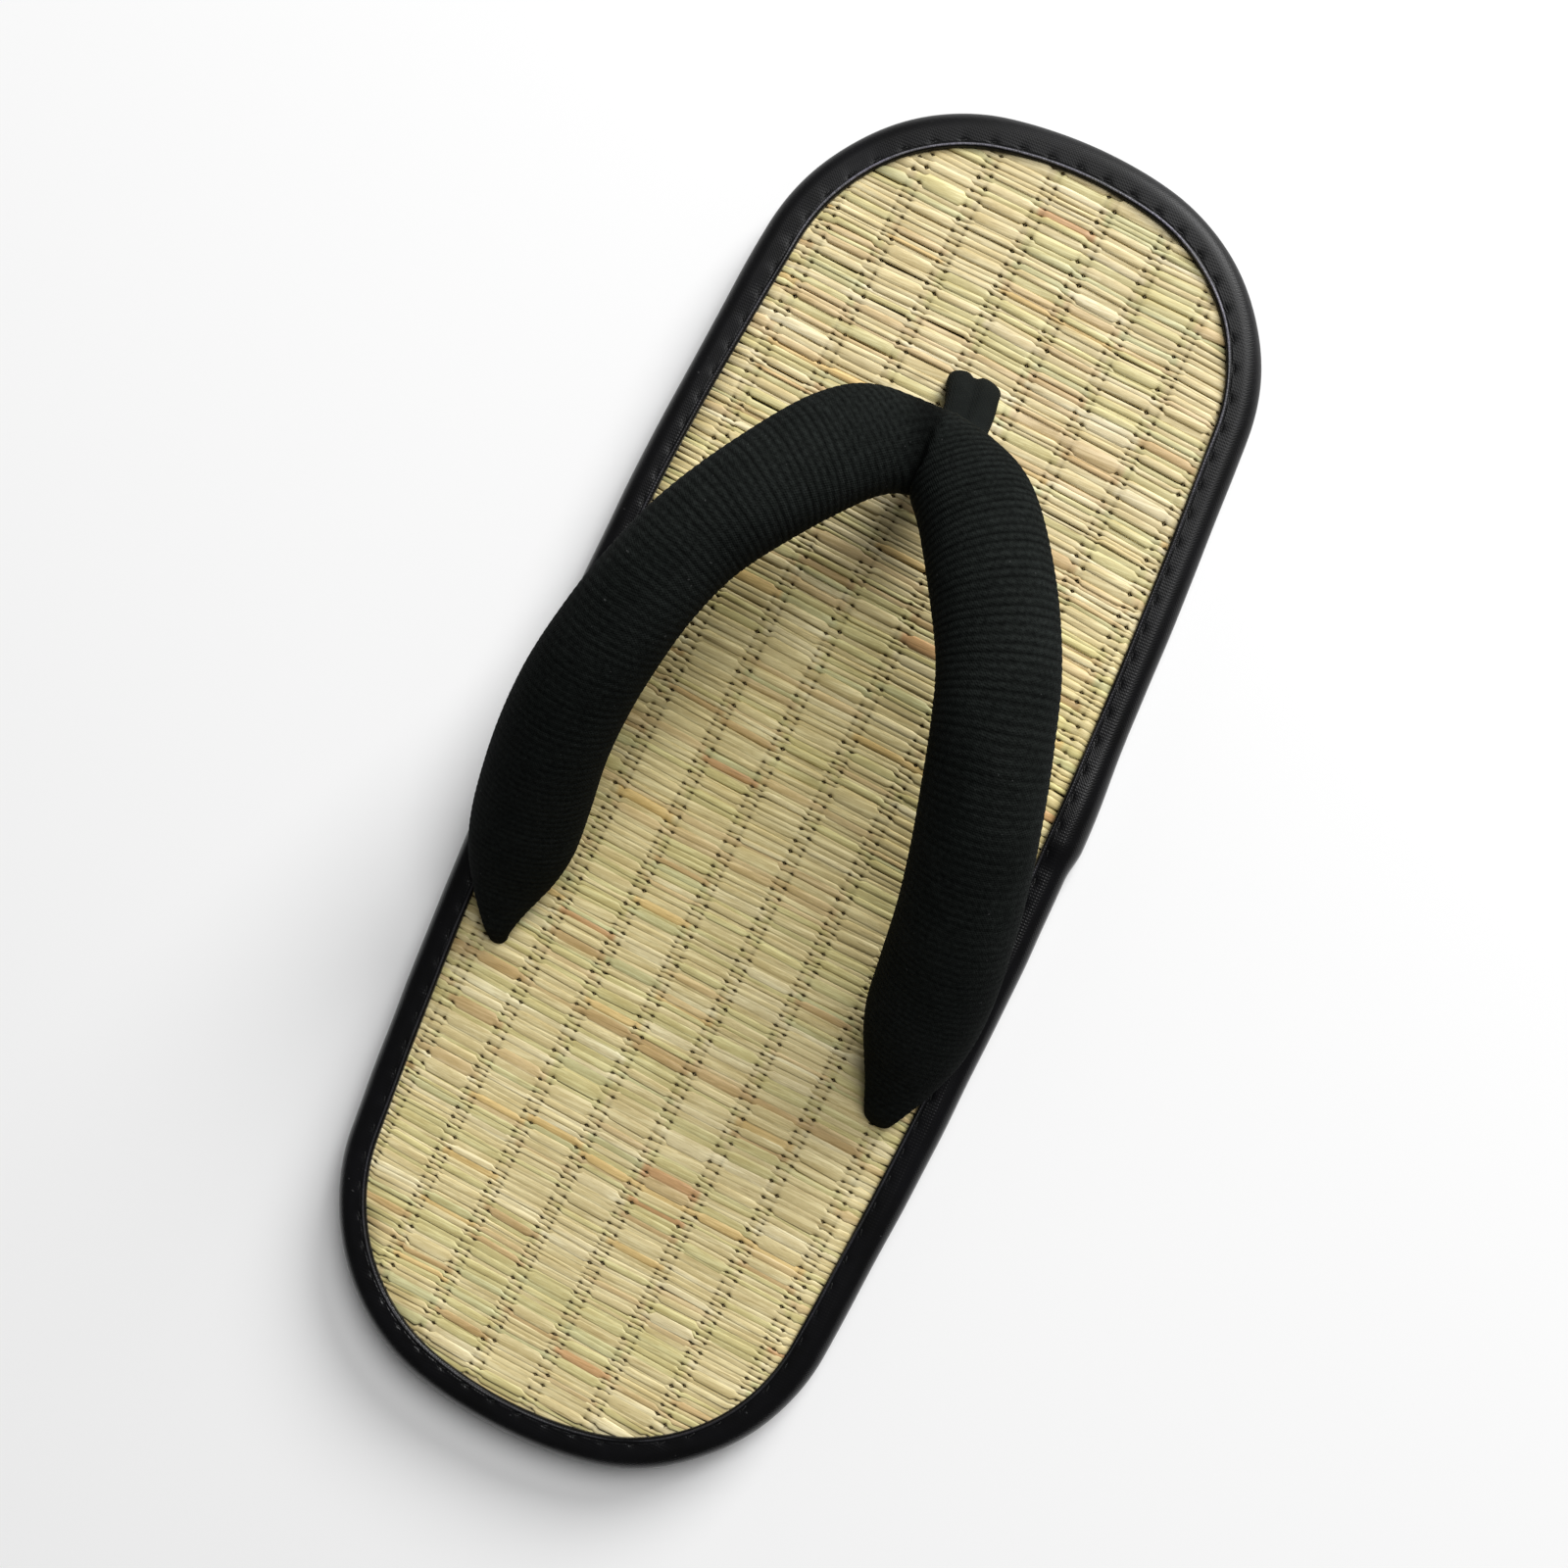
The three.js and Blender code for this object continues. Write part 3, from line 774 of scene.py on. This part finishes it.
def stem_layout(count, columns):
    """Width, sideways shift, tilt, height and tint of every stem in every column between warp pairs."""
    shape = (count, columns)
    widths = RNG.lognormal(0.0, STEM_UNLIKE, shape)
    widths *= np.where(RNG.random(shape) < THIN_SHARE, THIN_WIDTH, 1.0)
    drift = STEM_PITCH * (np.cumsum(widths - 1, axis=0) - (widths - 1) / 2)
    bundle = stem_bundles(count, columns)
    shifts = drift - slow_drift(drift) + bundle_draw(bundle)
    tints = stem_tints(bundle)
    tilts = np.take_along_axis(RNG.normal(0.0, STEM_TILT, shape), bundle, axis=0)
    heights = RNG.normal(0.0, STEM_UNEVEN, shape).clip(-MOST_UNEVEN, MOST_UNEVEN)
    return widths, shifts, tilts, heights, tints


def slow_drift(drift):
    """Mean of each column's drift over the neighbours to both sides."""
    count = len(drift)
    window = 2 * DRIFT_REACH + 1
    framed = np.pad(drift, ((DRIFT_REACH, DRIFT_REACH), (0, 0)), mode="edge")
    return sum(framed[step:step + count] for step in range(window)) / window


def stem_tints(bundle):
    """Colour of every stem in every column: its own, its bundle's or a stray one."""
    count, columns = bundle.shape
    own = RNG.choice(len(STEM_COLOURS), count, p=STEM_SHARES)
    stray = RNG.choice(len(STEM_COLOURS), bundle.shape, p=STEM_SHARES)
    picks = np.repeat(own[:, None], columns, axis=1)
    by_bundle = np.take_along_axis(stray, bundle, axis=0)
    picks = np.where(RNG.random(bundle.shape) < BUNDLE_COLOUR_SHARE, by_bundle, picks)
    picks = np.where(RNG.random(bundle.shape) < STRAY_COLOUR_SHARE, stray, picks)
    tints = STEM_COLOURS[picks]
    tints[..., :3] *= RNG.normal(1.0, TINT_SPREAD, bundle.shape + (1,)).clip(*TINT_LIMITS)
    return tints


def stem_bundles(count, columns):
    """Number of the bundle of each stem in each column: a few neighbours lie close."""
    numbers = np.zeros((count, columns), dtype=int)
    for column in range(columns):
        sizes = RNG.integers(FEWEST_IN_BUNDLE, MOST_IN_BUNDLE + 1, count)
        numbers[:, column] = np.repeat(np.arange(count), sizes)[:count]
    return numbers


def bundle_draw(bundle):
    """How far each stem is drawn to the middle of its bundle, less where the mat is pressed flat."""
    count, columns = bundle.shape
    place = np.arange(count, dtype=float)
    draw = between(BUNDLE_DRAW, (place - (count - 1) / 2) * STEM_PITCH)
    shift = np.zeros((count, columns))
    for column in range(columns):
        members = np.bincount(bundle[:, column])
        middle = np.bincount(bundle[:, column], weights=place) / np.maximum(members, 1)
        shift[:, column] = (middle[bundle[:, column]] - place) * STEM_PITCH * draw
    return shift


def worn(y):
    """How smooth the mat is pressed: not at all at the toe, fully at the heel."""
    return 1 - smoothstep(*WEAR_Y, y)


def between(toe_and_heel, y):
    """A value that goes from the toe's to the heel's as the mat is pressed smoother."""
    toe, heel = toe_and_heel
    return toe + (heel - toe) * worn(y)


def sway(x, y):
    """Slow bend that neighbouring stems share."""
    return sum(height * np.sin(x * turn_x + y * turn_y) for height, turn_x, turn_y in SWAYS)


def press_at(x, y):
    """How far stems and cords are pressed down beside the tape."""
    return STEM_PRESS_DEPTH * (1 - smoothstep(*STEM_PRESS_INSET, from_tape(x, y)))


def stem_ends(y0):
    """Left and right ends of a stem that lies aslant across the plan, hidden under the tape."""
    x = np.linspace(-PLAN_WIDTH / 2, PLAN_WIDTH / 2, STEM_END_SAMPLES)
    inside = x[inset_of(x, y0 + between(STEM_SLOPE, y0) * x) > STEM_END_INSET]
    return (inside[0], inside[-1]) if len(inside) else (0.0, 0.0)


def stem_places():
    """Place along the middle and thickness of every stem."""
    count = int(PLAN_LENGTH / STEM_PITCH)
    own = np.random.default_rng(STEM_SEED).lognormal(0.0, STEM_VARIETY, count)
    thickness = STEM_PITCH * own / own.mean()
    return np.cumsum(thickness) - thickness / 2 - count * STEM_PITCH / 2, thickness


def build_stems(material):
    """Stems across the foot, over and under the warp cords, pinched there and full in between.

    In each column between warp pairs every second stem stands proud; in the next column the others do.
    """
    places, thickness = stem_places()
    columns = len(WARP_PAIRS) + 1
    widths, shifts, tilts, heights, tints = stem_layout(len(places), columns)
    draws = RNG.uniform(*PAIRING_RANGE, (len(places), columns, 2))
    marks = np.array(STEM_MARKS + tuple(WARP_PITCH - mark for mark in STEM_MARKS[::-1]))
    half_kinds = np.arange(len(STEM_MARKS))
    kinds = np.concatenate([half_kinds, half_kinds[::-1]])
    profile = np.array(STEM_PROFILE)[::-1]
    tubes = Tubes()
    colours = []
    for stem, y0 in enumerate(places):
        low, high = stem_ends(y0)
        if high - low < SHORTEST_STEM:
            continue
        x, column, mark = stem_points(y0, low, high, marks)
        row = (stem + column + 1) % 2
        proud = 2.0 * row - 1
        loose = kinds[mark] == LOOSE
        tight = np.minimum(kinds[mark], PAST_CORD)
        free = np.select([loose, tight == PAST_CORD], [1.0, PAST_CORD_FREE], 0.0)
        flatten = HEEL_FLATTEN * worn(y0)

        width = widths[stem, column] * (1 + PROUD_WIDTH * proud) * between(STEM_OVERLAP, y0)
        width = np.where(loose, width, TIGHT_WIDTHS[row, tight]) * thickness[stem]
        y = y0 + between(STEM_SLOPE, y0) * x + shifts[stem, column] * free
        y += tilts[stem, column] * (marks[mark] / WARP_PITCH - 0.5) * free + sway(x, y0)
        second_cord = (mark >= len(STEM_MARKS)).astype(int)
        draw = draws[stem, column, second_cord] * PAIRING
        y += np.where(tight == AT_CORD, draw, LOOSE_PAIRING * free) * proud

        lift = between(PROUD_LIFT, y0) * proud + heights[stem, column] * (1 - flatten)
        lift = np.where(loose, lift, TIGHT_LIFTS[row, tight])
        z = MAT_TOP - STEM_DEPTH / 2 + lift - press_at(x, y)
        depth = STEM_DEPTH * (1 - flatten * free)
        tubes.add(np.repeat(x[:, None], STEM_SIDES, axis=1),
                  y[:, None] + profile[None, :, 0] * width[:, None] / 2,
                  z[:, None] + profile[None, :, 1] * depth[:, None] / 2)

        # Painted light and shade: proud stems lighter, low ones darker, and painted shade where stems dip
        # at the cords.
        shade = 1 + between(PROUD_SHADE, y0) * proud
        shade = np.where(loose, shade, TIGHT_SHADES[row, tight])
        # Painted tone of light and shade along the foot: yellower in the middle, whiter at the toe.
        blue = np.interp(y, BLUE_DRIFT_Y, BLUE_DRIFT)
        tint = tints[stem, column] * np.column_stack([shade, shade, shade * blue, np.ones_like(shade)])
        colours.append(np.repeat(tint, STEM_SIDES, axis=0))
    return tubes.finish("rush_stems", material, tints=np.concatenate(colours))


def stem_points(y0, low, high, marks):
    """Points along one stem between its ends: x, column and mark."""
    pairs = range(WARP_PAIRS[0] - 1, WARP_PAIRS[-1] + 1)
    starts = np.array([warp_x(pair, y0) for pair in pairs])
    x = (starts[:, None] + marks[None, :]).ravel()
    column = np.repeat(np.arange(len(pairs)), len(marks))
    mark = np.tile(np.arange(len(marks)), len(pairs))
    inside = (x > low + STEM_END_CLEAR) & (x < high - STEM_END_CLEAR)
    x, column, mark = x[inside], column[inside], mark[inside]
    last_cord = len(marks) - 1 - AT_CORD
    return (np.concatenate([[low], x, [high]]),
            np.concatenate([column[:1], column, column[-1:]]),
            np.concatenate([[AT_CORD], mark, [last_cord]]))


def build_warps(material):
    """Cotton warp cords, lengthwise in pairs, over one stem and under the next."""
    places, _ = stem_places()
    steps = np.arange(2 * len(places) - 1) / 2
    along = np.interp(steps, np.arange(len(places)), places)
    over = np.cos(math.pi * steps)
    tubes = Tubes()
    for number, pair in enumerate(WARP_PAIRS):
        for side in (-1, 1):
            x = warp_x(pair, along) + side * WARP_PAIR_HALF
            y = along + between(STEM_SLOPE, along) * x
            column = number if side < 0 else number + 1
            under = -1.0 if column % 2 == 0 else 1.0
            inside = inset_of(x, y) > STEM_END_INSET
            if inside.sum() < WARP_LEAST_POINTS:
                continue
            px, py, rise = x[inside], y[inside], under * over[inside]
            pz = MAT_TOP - WARP_DEPTH + rise * WARP_DIP - press_at(px, py)
            tubes.add_round(px, py, pz, (1.0, 0.0), WARP_RADIUS, WARP_SIDES)
    return tubes.finish("warp_cords", material)


def build_backing(material):
    """Dark underside of the mat, seen only through the gaps between stems; its dark brown partly stands
    in for their shade.
    """
    angles = plan_angles(BACKING_STATION)
    levels = ((MAT_EDGE_INSET, SOLE_TOP), (MAT_EDGE_INSET + BACKING_TAPER, BACKING_SHOULDER),
              (ROLL_RADIUS, MAT_BASE_TOP))
    rings = np.stack([plan_ring(angles, inset, z) for inset, z in levels])
    return add_rings("mat_backing", rings, material, smooth=False)


# Edge tape

def lap_rise(x, y):
    """Extra thickness where the tape's ends lap: a slow swell that ends in a short slope."""
    swell = smoothstep(LAP_START_Y, LAP_END_Y, y)
    step = smoothstep(LAP_END_Y - LAP_STEP_LENGTH, LAP_END_Y, y)
    return np.where(x > 0, LAP_RISE * swell * step, 0.0)


def arc_rows(inset, z, radius, from_deg, to_deg, steps):
    """Rows of a rolled edge: inset, height, and its own way out and up."""
    angle = np.radians(np.linspace(from_deg, to_deg, steps + 1))
    return [(inset - radius * math.cos(a), z + radius * math.sin(a), math.cos(a), max(math.sin(a), 0.0))
            for a in angle]


def tape_rows():
    """Tape section from the inner fold over the side to the lower flange and back inside.

    Columns: inset, height, then how far the lap moves the row out and up.
    """
    rows = []
    for step in range(FOLD_STEPS + 1):
        angle = math.pi * step / FOLD_STEPS
        inset = UPPER_FLANGE - FOLD_WIDTH / 2 + FOLD_WIDTH / 2 * math.cos(angle)
        drop = FOLD_DROP_INSIDE if step * 2 < FOLD_STEPS else FOLD_DROP_OUTSIDE
        rows.append((inset, TAPE_TOP - drop * (1 - math.sin(angle) ** FOLD_ROUND), 0.0, 1.0))
    for offset in (GROOVE_HALF, 0.0, -GROOVE_HALF, -GROOVE_OUTER):
        rows.append((GROOVE_INSET + offset, TAPE_TOP - GROOVE_DEPTH, 0.0, 1.0))
    roll_centre = TAPE_TOP - ROLL_RADIUS
    rows += arc_rows(ROLL_RADIUS, roll_centre, ROLL_RADIUS, 90, 0, ROLL_STEPS)
    rows.append((0.0, SIDE_MIDDLE, 1.0, 0.0))
    lower_centre = TAPE_FOOT + LOWER_ROLL_RADIUS
    rows += arc_rows(LOWER_ROLL_RADIUS, lower_centre, LOWER_ROLL_RADIUS, 0, -90, SMALL_ROLL_STEPS)
    rows.append((LOWER_FLANGE, TAPE_FOOT, 0.0, 0.0))
    rows.append((LOWER_FLANGE, TAPE_FOOT + TAPE_THICKNESS, 0.0, 0.0))
    rows.append((TAPE_THICKNESS, TAPE_FOOT + TAPE_THICKNESS, 0.0, 0.0))
    inner = arc_rows(ROLL_RADIUS, roll_centre, ROLL_RADIUS - TAPE_THICKNESS, 0, 90, SMALL_ROLL_STEPS)
    rows += [(inset, z, 0.0, 0.0) for inset, z, _, _ in inner]
    rows.append((UPPER_FLANGE, TAPE_TOP - TAPE_THICKNESS, 0.0, 0.0))
    return rows


def tape_stations():
    """Angles round the tape, more of them on the lap's slope, the run of its seam and the lap's rise."""
    lap_y = np.linspace(LAP_END_Y - LAP_STEP_LENGTH, LAP_END_Y, LAP_STATIONS)
    angles = np.sort(np.concatenate([plan_angles(TAPE_STATION), np.arcsin(lap_y / SIDE_RADIUS)]))
    x, y = seam_points(angles)
    run = np.concatenate([[0.0], np.cumsum(np.hypot(np.diff(x), np.diff(y)))])
    return angles, run, lap_rise(*plan_points(angles, 0.0))


def seam_points(angles):
    """Points of the line that the stitches follow."""
    return plan_points(angles, GROOVE_INSET + flange_at(angles))


def build_binding(material):
    """Tape folded over the edge, pulled down at each stitch and puffed a little in between."""
    angles, run, lap = tape_stations()
    from_stitch = np.mod(run, STITCH_PITCH) - STITCH_PITCH / 2
    stitch = np.exp(-((from_stitch / STITCH_DIMPLE) ** 2))
    slack = wobble(run, *SLACK) + wobble(run, *PUCKER)
    flange = flange_at(angles)
    rings = []
    for inset, z, out, up in tape_rows():
        soft = max(out, up)
        faces_up = up > 0.5
        seam = math.exp(-(((inset - GROOVE_INSET) / GROOVE_HALF) ** 2)) if faces_up else 0.0
        wider = flange if inset > FLANGE_FROM_INSET and z > SOLE_TOP else 0.0
        height = z + lap * up + slack * soft * up - STITCH_PULL * seam * stitch
        rings.append(plan_ring(angles, inset + wider - (lap * out + slack * out), height))
    return add_rings("tape_binding", np.stack(rings, axis=1), material, joined=True)


def build_fold(material):
    """Tight folded lip along the tape's inner edge."""
    angles, run, lap = tape_stations()
    waver = wobble(run, *LIP_WAVE) + flange_at(angles)
    rings = []
    for angle in turns(FOLD_SIDES):
        z = FOLD_HEIGHT + lap * FOLD_LAP_SHARE + FOLD_RADIUS * math.sin(angle)
        rings.append(plan_ring(angles, FOLD_INSET + waver + FOLD_RADIUS * math.cos(angle), z))
    rings = np.stack(rings, axis=1)
    # Painted highlight: the lip's tint grows lighter towards the toe.
    painted_highlight_share = smoothstep(*FOLD_LIGHT_Y, rings[..., 1])
    tints = grey_tints(1 + (FOLD_TOE_LIGHT - 1) * painted_highlight_share)
    return add_rings("tape_fold", rings, material, joined=True, tints=tints)


def build_stitches(material):
    """Lock stitches lying in the tape's groove."""
    angles, run, lap = tape_stations()
    x, y = seam_points(angles)
    count = int(run[-1] / STITCH_PITCH)
    along = np.linspace(-0.5, 0.5, STITCH_STEPS)
    bow = STITCH_BOW * np.cos(math.pi * along)
    radius = STITCH_RADIUS * np.sqrt(np.clip(1 - (2 * along) ** STITCH_BLUNT, STITCH_TIP, 1))
    tubes = Tubes()
    for index in range(count):
        centre = (index + 0.5) * STITCH_PITCH
        at = centre + along * STITCH_LENGTH * RNG.uniform(*STITCH_LENGTH_RANGE)
        px, py = np.interp(at, run, x), np.interp(at, run, y)
        tangent = np.array([px[-1] - px[0], py[-1] - py[0]])
        across = np.array([-tangent[1], tangent[0]]) / np.linalg.norm(tangent)
        skew = RNG.normal(0, STITCH_ASKEW) + along * STITCH_SLANT
        pz = TAPE_TOP - GROOVE_DEPTH - STITCH_PULL + bow + np.interp(at, run, lap)
        tubes.add_round(px + across[0] * skew, py + across[1] * skew, pz, across, radius, STITCH_SIDES)
    return tubes.finish("tape_stitches", material)


# Strap and toe loop

def smooth_rows(rows, t):
    """Values on smooth curves through a table's rows, at places counted in rows."""
    rows = np.asarray(rows, dtype=float)
    padded = np.vstack([2 * rows[0] - rows[1], rows, 2 * rows[-1] - rows[-2]])
    first = np.clip(np.floor(t).astype(int), 0, len(rows) - 2)
    u = (t - first)[:, None]
    a, b, c, d = (padded[first + step] for step in range(4))
    squared = (2 * a - 5 * b + 4 * c - d) * u**2
    cubed = (3 * b - a - 3 * c + d) * u**3
    return 0.5 * (2 * b + (c - a) * u + squared + cubed)


def strap_rows():
    """Rows from the right tail over the apex to the left tail, the left arm slimmer."""
    right = np.array(STRAP_SECTIONS)
    left = right[:-1].copy()
    inner, outer = left[:, 0:2], left[:, 2:4]
    width = np.linalg.norm(outer - inner, axis=1, keepdims=True)
    left[:, 2:4] = inner + (outer - inner) * (width - left[:, 6:7]) / width
    left[:, [0, 2]] *= -1
    right[:, [0, 2]] += STRAP_LEAN
    return np.vstack([right, left[::-1]])[:, :6]


def strap_frame():
    """Middles, half widths, ups, depths and lengths along the strap, evenly spaced."""
    rows = strap_rows()
    fine = smooth_rows(rows, np.linspace(0, len(rows) - 1, STRAP_SAMPLES))
    middle = np.column_stack([(fine[:, 0:2] + fine[:, 2:4]) / 2, fine[:, 4]])
    run = np.concatenate([[0], np.cumsum(np.linalg.norm(np.diff(middle, axis=0), axis=1))])
    count = int(run[-1] / STRAP_STATION)
    at = np.linspace(0, run[-1], count)
    even = np.column_stack([np.interp(at, run, column) for column in fine.T])
    inner, outer, lift, depth = even[:, 0:2], even[:, 2:4], even[:, 4], even[:, 5]
    middle = np.column_stack([(inner + outer) / 2, lift + STRAP_BASE])
    half = np.column_stack([(outer - inner) / 2, np.zeros(count)])
    along = np.gradient(middle, axis=0)
    up = np.cross(half, along)
    up /= np.linalg.norm(up, axis=1, keepdims=True)
    return middle, half, up, depth, at


def rib_wave(middle, run, points):
    """Height of the ribs at ring points; near the apex they stay square to each arm's own line."""
    apex = run[-1] / 2
    before, after = apex - MITRE_REACH, apex + MITRE_REACH
    phase = np.repeat(run[:, None], points.shape[1], axis=1)
    tangent = np.gradient(middle, run, axis=0)
    for place, near in ((before, (run > before) & (run <= apex)), (after, (run < after) & (run > apex))):
        index = np.argmin(np.abs(run - place))
        phase[near] = run[index] + (points[near] - middle[index]) @ tangent[index]
    return np.abs(np.sin(math.pi * phase / RIB_PITCH)) ** RIB_ROUND


def tube_offsets(half, up, depth, sides):
    """Offsets of elliptic ring points from the strap's middle line."""
    turn = turns(sides)
    across = half[:, None, :] * np.cos(turn)[None, :, None]
    return across + up[:, None, :] * (depth / 2)[:, None, None] * np.sin(turn)[None, :, None]


def stuffing(middle, half, up, depth, run):
    """How far each fine ring point moves when the slack tube is stuffed, from a cloth simulation."""
    picks = np.unique(np.append(np.arange(0, len(run), STUFF_STEP), len(run) - 1))
    full = tube_offsets(half[picks], up[picks], depth[picks], STUFF_SIDES)
    tube = add_rings("slack_tube", middle[picks][:, None, :] + full * STUFF_SLACK, None)
    from_tail = np.minimum(run[picks], run[-1] - run[picks])
    from_apex = np.abs(run[picks] - run[-1] / 2)
    held = (from_tail < STUFF_HELD_TAIL) | (from_apex < STUFF_HELD_APEX)
    pins = tube.vertex_groups.new(name="held")
    pins.add(np.flatnonzero(np.repeat(held, STUFF_SIDES)).tolist(), 1.0, "REPLACE")
    cloth = tube.modifiers.new("stuffing", "CLOTH")
    settings = cloth.settings
    settings.quality = 6
    settings.mass = 0.2
    settings.tension_stiffness = 20
    settings.compression_stiffness = 20
    settings.bending_stiffness = 0.6
    settings.vertex_group_mass = "held"
    settings.use_pressure = True
    settings.uniform_pressure_force = STUFF_PRESSURE
    settings.effector_weights.gravity = 0
    cloth.point_cache.frame_end = STUFF_FRAMES
    scene = bpy.context.scene
    for step in range(1, STUFF_FRAMES + 1):
        scene.frame_set(step)
    blown = tube.evaluated_get(bpy.context.evaluated_depsgraph_get()).data
    places = np.empty(len(blown.vertices) * 3)
    blown.vertices.foreach_get("co", places)
    scene.frame_set(1)
    bpy.data.objects.remove(tube)
    moved = places.reshape(full.shape) / MM - (middle[picks][:, None, :] + full)
    size = np.linalg.norm(moved, axis=2, keepdims=True)
    moved *= np.minimum(1.0, STUFF_CAP / np.maximum(size, 1e-9))
    moved[held] = 0.0
    return spread(moved, run[picks], run)


def spread(coarse, places, run):
    """Coarse ring values spread smoothly over the fine rings and sides."""
    around = np.linspace(0, STUFF_SIDES, STRAP_SIDES, endpoint=False)
    first = np.floor(around).astype(int)
    share = smoothstep(0.0, 1.0, around - first)[None, :, None]
    sides = coarse[:, first % STUFF_SIDES] * (1 - share) + coarse[:, (first + 1) % STUFF_SIDES] * share
    before = np.clip(np.searchsorted(places, run, side="right") - 1, 0, len(places) - 2)
    step = smoothstep(0.0, 1.0, (run - places[before]) / (places[before + 1] - places[before]))
    return sides[before] * (1 - step)[:, None, None] + sides[before + 1] * step[:, None, None]


def strap_rings():
    """Points of the stuffed tube with the apex crease and fine ribs round it, and the painted shade and
    highlight of the ribs and crease.
    """
    middle, half, up, depth, run = strap_frame()
    length = run[-1]
    top = np.clip(np.sin(turns(STRAP_SIDES)), 0, 1)
    offset = tube_offsets(half, up, depth, STRAP_SIDES)
    offset = offset + stuffing(middle, half, up, depth, run)
    reach = np.linalg.norm(offset, axis=2, keepdims=True)
    from_apex = run - length / 2
    tuck = np.exp(-((from_apex / np.where(from_apex > 0, TUCK_WIDTH, CREASE_WIDTH)) ** 2))
    rib = rib_wave(middle, run, middle[:, None, :] + offset)
    soft = smoothstep(0.0, RIB_TAIL, run) * smoothstep(0.0, RIB_TAIL, length - run)
    deep = CREASE_UNDER_SHARE + (1 - CREASE_UNDER_SHARE) * top
    shrink = CREASE_DEPTH * tuck[:, None] * deep[None, :]
    swell = RIB_HEIGHT * rib * soft[:, None] - shrink
    # Painted shade in the rib valleys and a painted highlight on the rib tops, weaker from the apex
    # towards the tails.
    rear = smoothstep(*RIB_FADE, np.abs(from_apex))
    share = (1 - (1 - RIB_REAR_SHARE) * rear)[:, None]
    shade = 1 + share * (RIB_SHADE - 1 + (RIB_LIGHT - RIB_SHADE) * rib**RIB_LIGHT_NARROW)
    # Painted shade in the crease at the apex.
    shade = shade * (1 - TUCK_SHADE * tuck)[:, None]
    return middle[:, None, :] + offset * (1 + swell[:, :, None] / reach), shade


def build_strap(material):
    """The stuffed V strap, from one tail over the apex to the other."""
    rings, shade = strap_rings()
    return add_rings("stuffed_strap", rings, material, tints=grey_tints(shade))


def build_toe_loop(material):
    """Folded cloth tab: two lobes side by side, with a crease between them in front and behind."""
    rows = smooth_rows(LOOP_SECTIONS, np.linspace(0, len(LOOP_SECTIONS) - 1, LOOP_STEPS))
    middle, y, z = rows[:, 0], rows[:, 1], rows[:, 2] + STRAP_BASE
    width, depth = rows[:, 3], rows[:, 4]
    ty, tz = np.gradient(y), np.gradient(z)
    size = np.hypot(ty, tz)
    front_y, front_z = tz / size, -ty / size
    turn = turns(LOOP_SIDES)
    across, front = np.cos(turn), np.sin(turn)
    px = across[None, :] * width[:, None] / 2
    fold = 1 - LOOP_FOLD * np.exp(-(((px - LOOP_FOLD_X) / LOOP_FOLD_WIDTH) ** 2))
    boxy = np.sign(front) * np.abs(front) ** LOOP_BOXY
    reach = boxy[None, :] * depth[:, None] / 2 * fold
    py = y[:, None] + reach * front_y[:, None]
    pz = z[:, None] + reach * front_z[:, None]
    return add_rings("toe_loop_cloth", np.stack([px + middle[:, None], py, pz], axis=-1), material)


# Stage

def add_floor():
    """Pale floor, which is no piece of the sandal."""
    made = Shader("pale_floor", Base_Color=grey(FLOOR_GREY), Roughness=0.9)
    corners = [(across * FLOOR_REACH, along * FLOOR_REACH, 0.0)
               for across, along in ((-1, -1), (1, -1), (1, 1), (-1, 1))]
    floor = add_object("floor", corners, [(0, 1, 2, 3)], made.material, smooth=False)


def look_at(eye, aim, up_hint):
    """Place and turn of a camera or light that looks from eye to aim."""
    forward = (aim - eye).normalized()
    right = forward.cross(up_hint).normalized()
    up = right.cross(forward)
    turn = Matrix((right, up, -forward)).transposed()
    return Matrix.Translation(eye) @ turn.to_4x4()


def add_camera():
    """Camera whose frame is FRAME_WIDTH wide at the point it is aimed at."""
    eye, aim = Vector(EYE) * MM, Vector(AIM) * MM
    data = bpy.data.cameras.new("camera")
    data.sensor_width = SENSOR
    data.lens = SENSOR * (aim - eye).length / (FRAME_WIDTH * MM)
    data.clip_start = CLIP_START * MM
    camera = bpy.data.objects.new("camera", data)
    camera.matrix_world = look_at(eye, aim, Vector((-math.sin(TOE_TURN), math.cos(TOE_TURN), 0.0)))
    bpy.context.scene.collection.objects.link(camera)
    bpy.context.scene.camera = camera


def add_lights():
    """Round soft lights from the toe's side, in a dim white world."""
    scene = bpy.context.scene
    for name, place, size, power in LIGHTS:
        data = bpy.data.lights.new(name, "AREA")
        data.shape = "DISK"
        data.size = size * MM
        data.energy = power
        light = bpy.data.objects.new(name, data)
        light.matrix_world = look_at(Vector(place) * MM, Vector(), Vector((1.0, 0.0, 0.0)))
        scene.collection.objects.link(light)
    scene.world = bpy.data.worlds.new("studio")
    scene.world.use_nodes = True
    background = scene.world.node_tree.nodes["Background"]
    background.inputs["Color"].default_value = grey(1.0)
    background.inputs["Strength"].default_value = WORLD_STRENGTH
    scene.view_settings.view_transform = "Standard"


def main():
    """Dresses the sandal piece by piece and sets the stage round it."""
    dress(build_stems(rush_material()), "rush", "rush_mat")
    dress(build_warps(cord_material()), "rush")
    dress(build_backing(backing_material()), "rush")
    dress(build_binding(tape_material()), "tape", "edge_binding")
    dress(build_fold(lip_material()), "tape")
    dress(build_stitches(thread_material()), "tape")
    padding = dress(build_strap(strap_material()), "strap_cloth", "hanao_strap")
    dress(build_toe_loop(loop_material()), "loop_cloth", "toe_loop")

    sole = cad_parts["sole"]
    sole.data.materials.clear()
    sole.data.materials.append(foam_material())

    add_floor()
    add_camera()
    add_lights()


main()
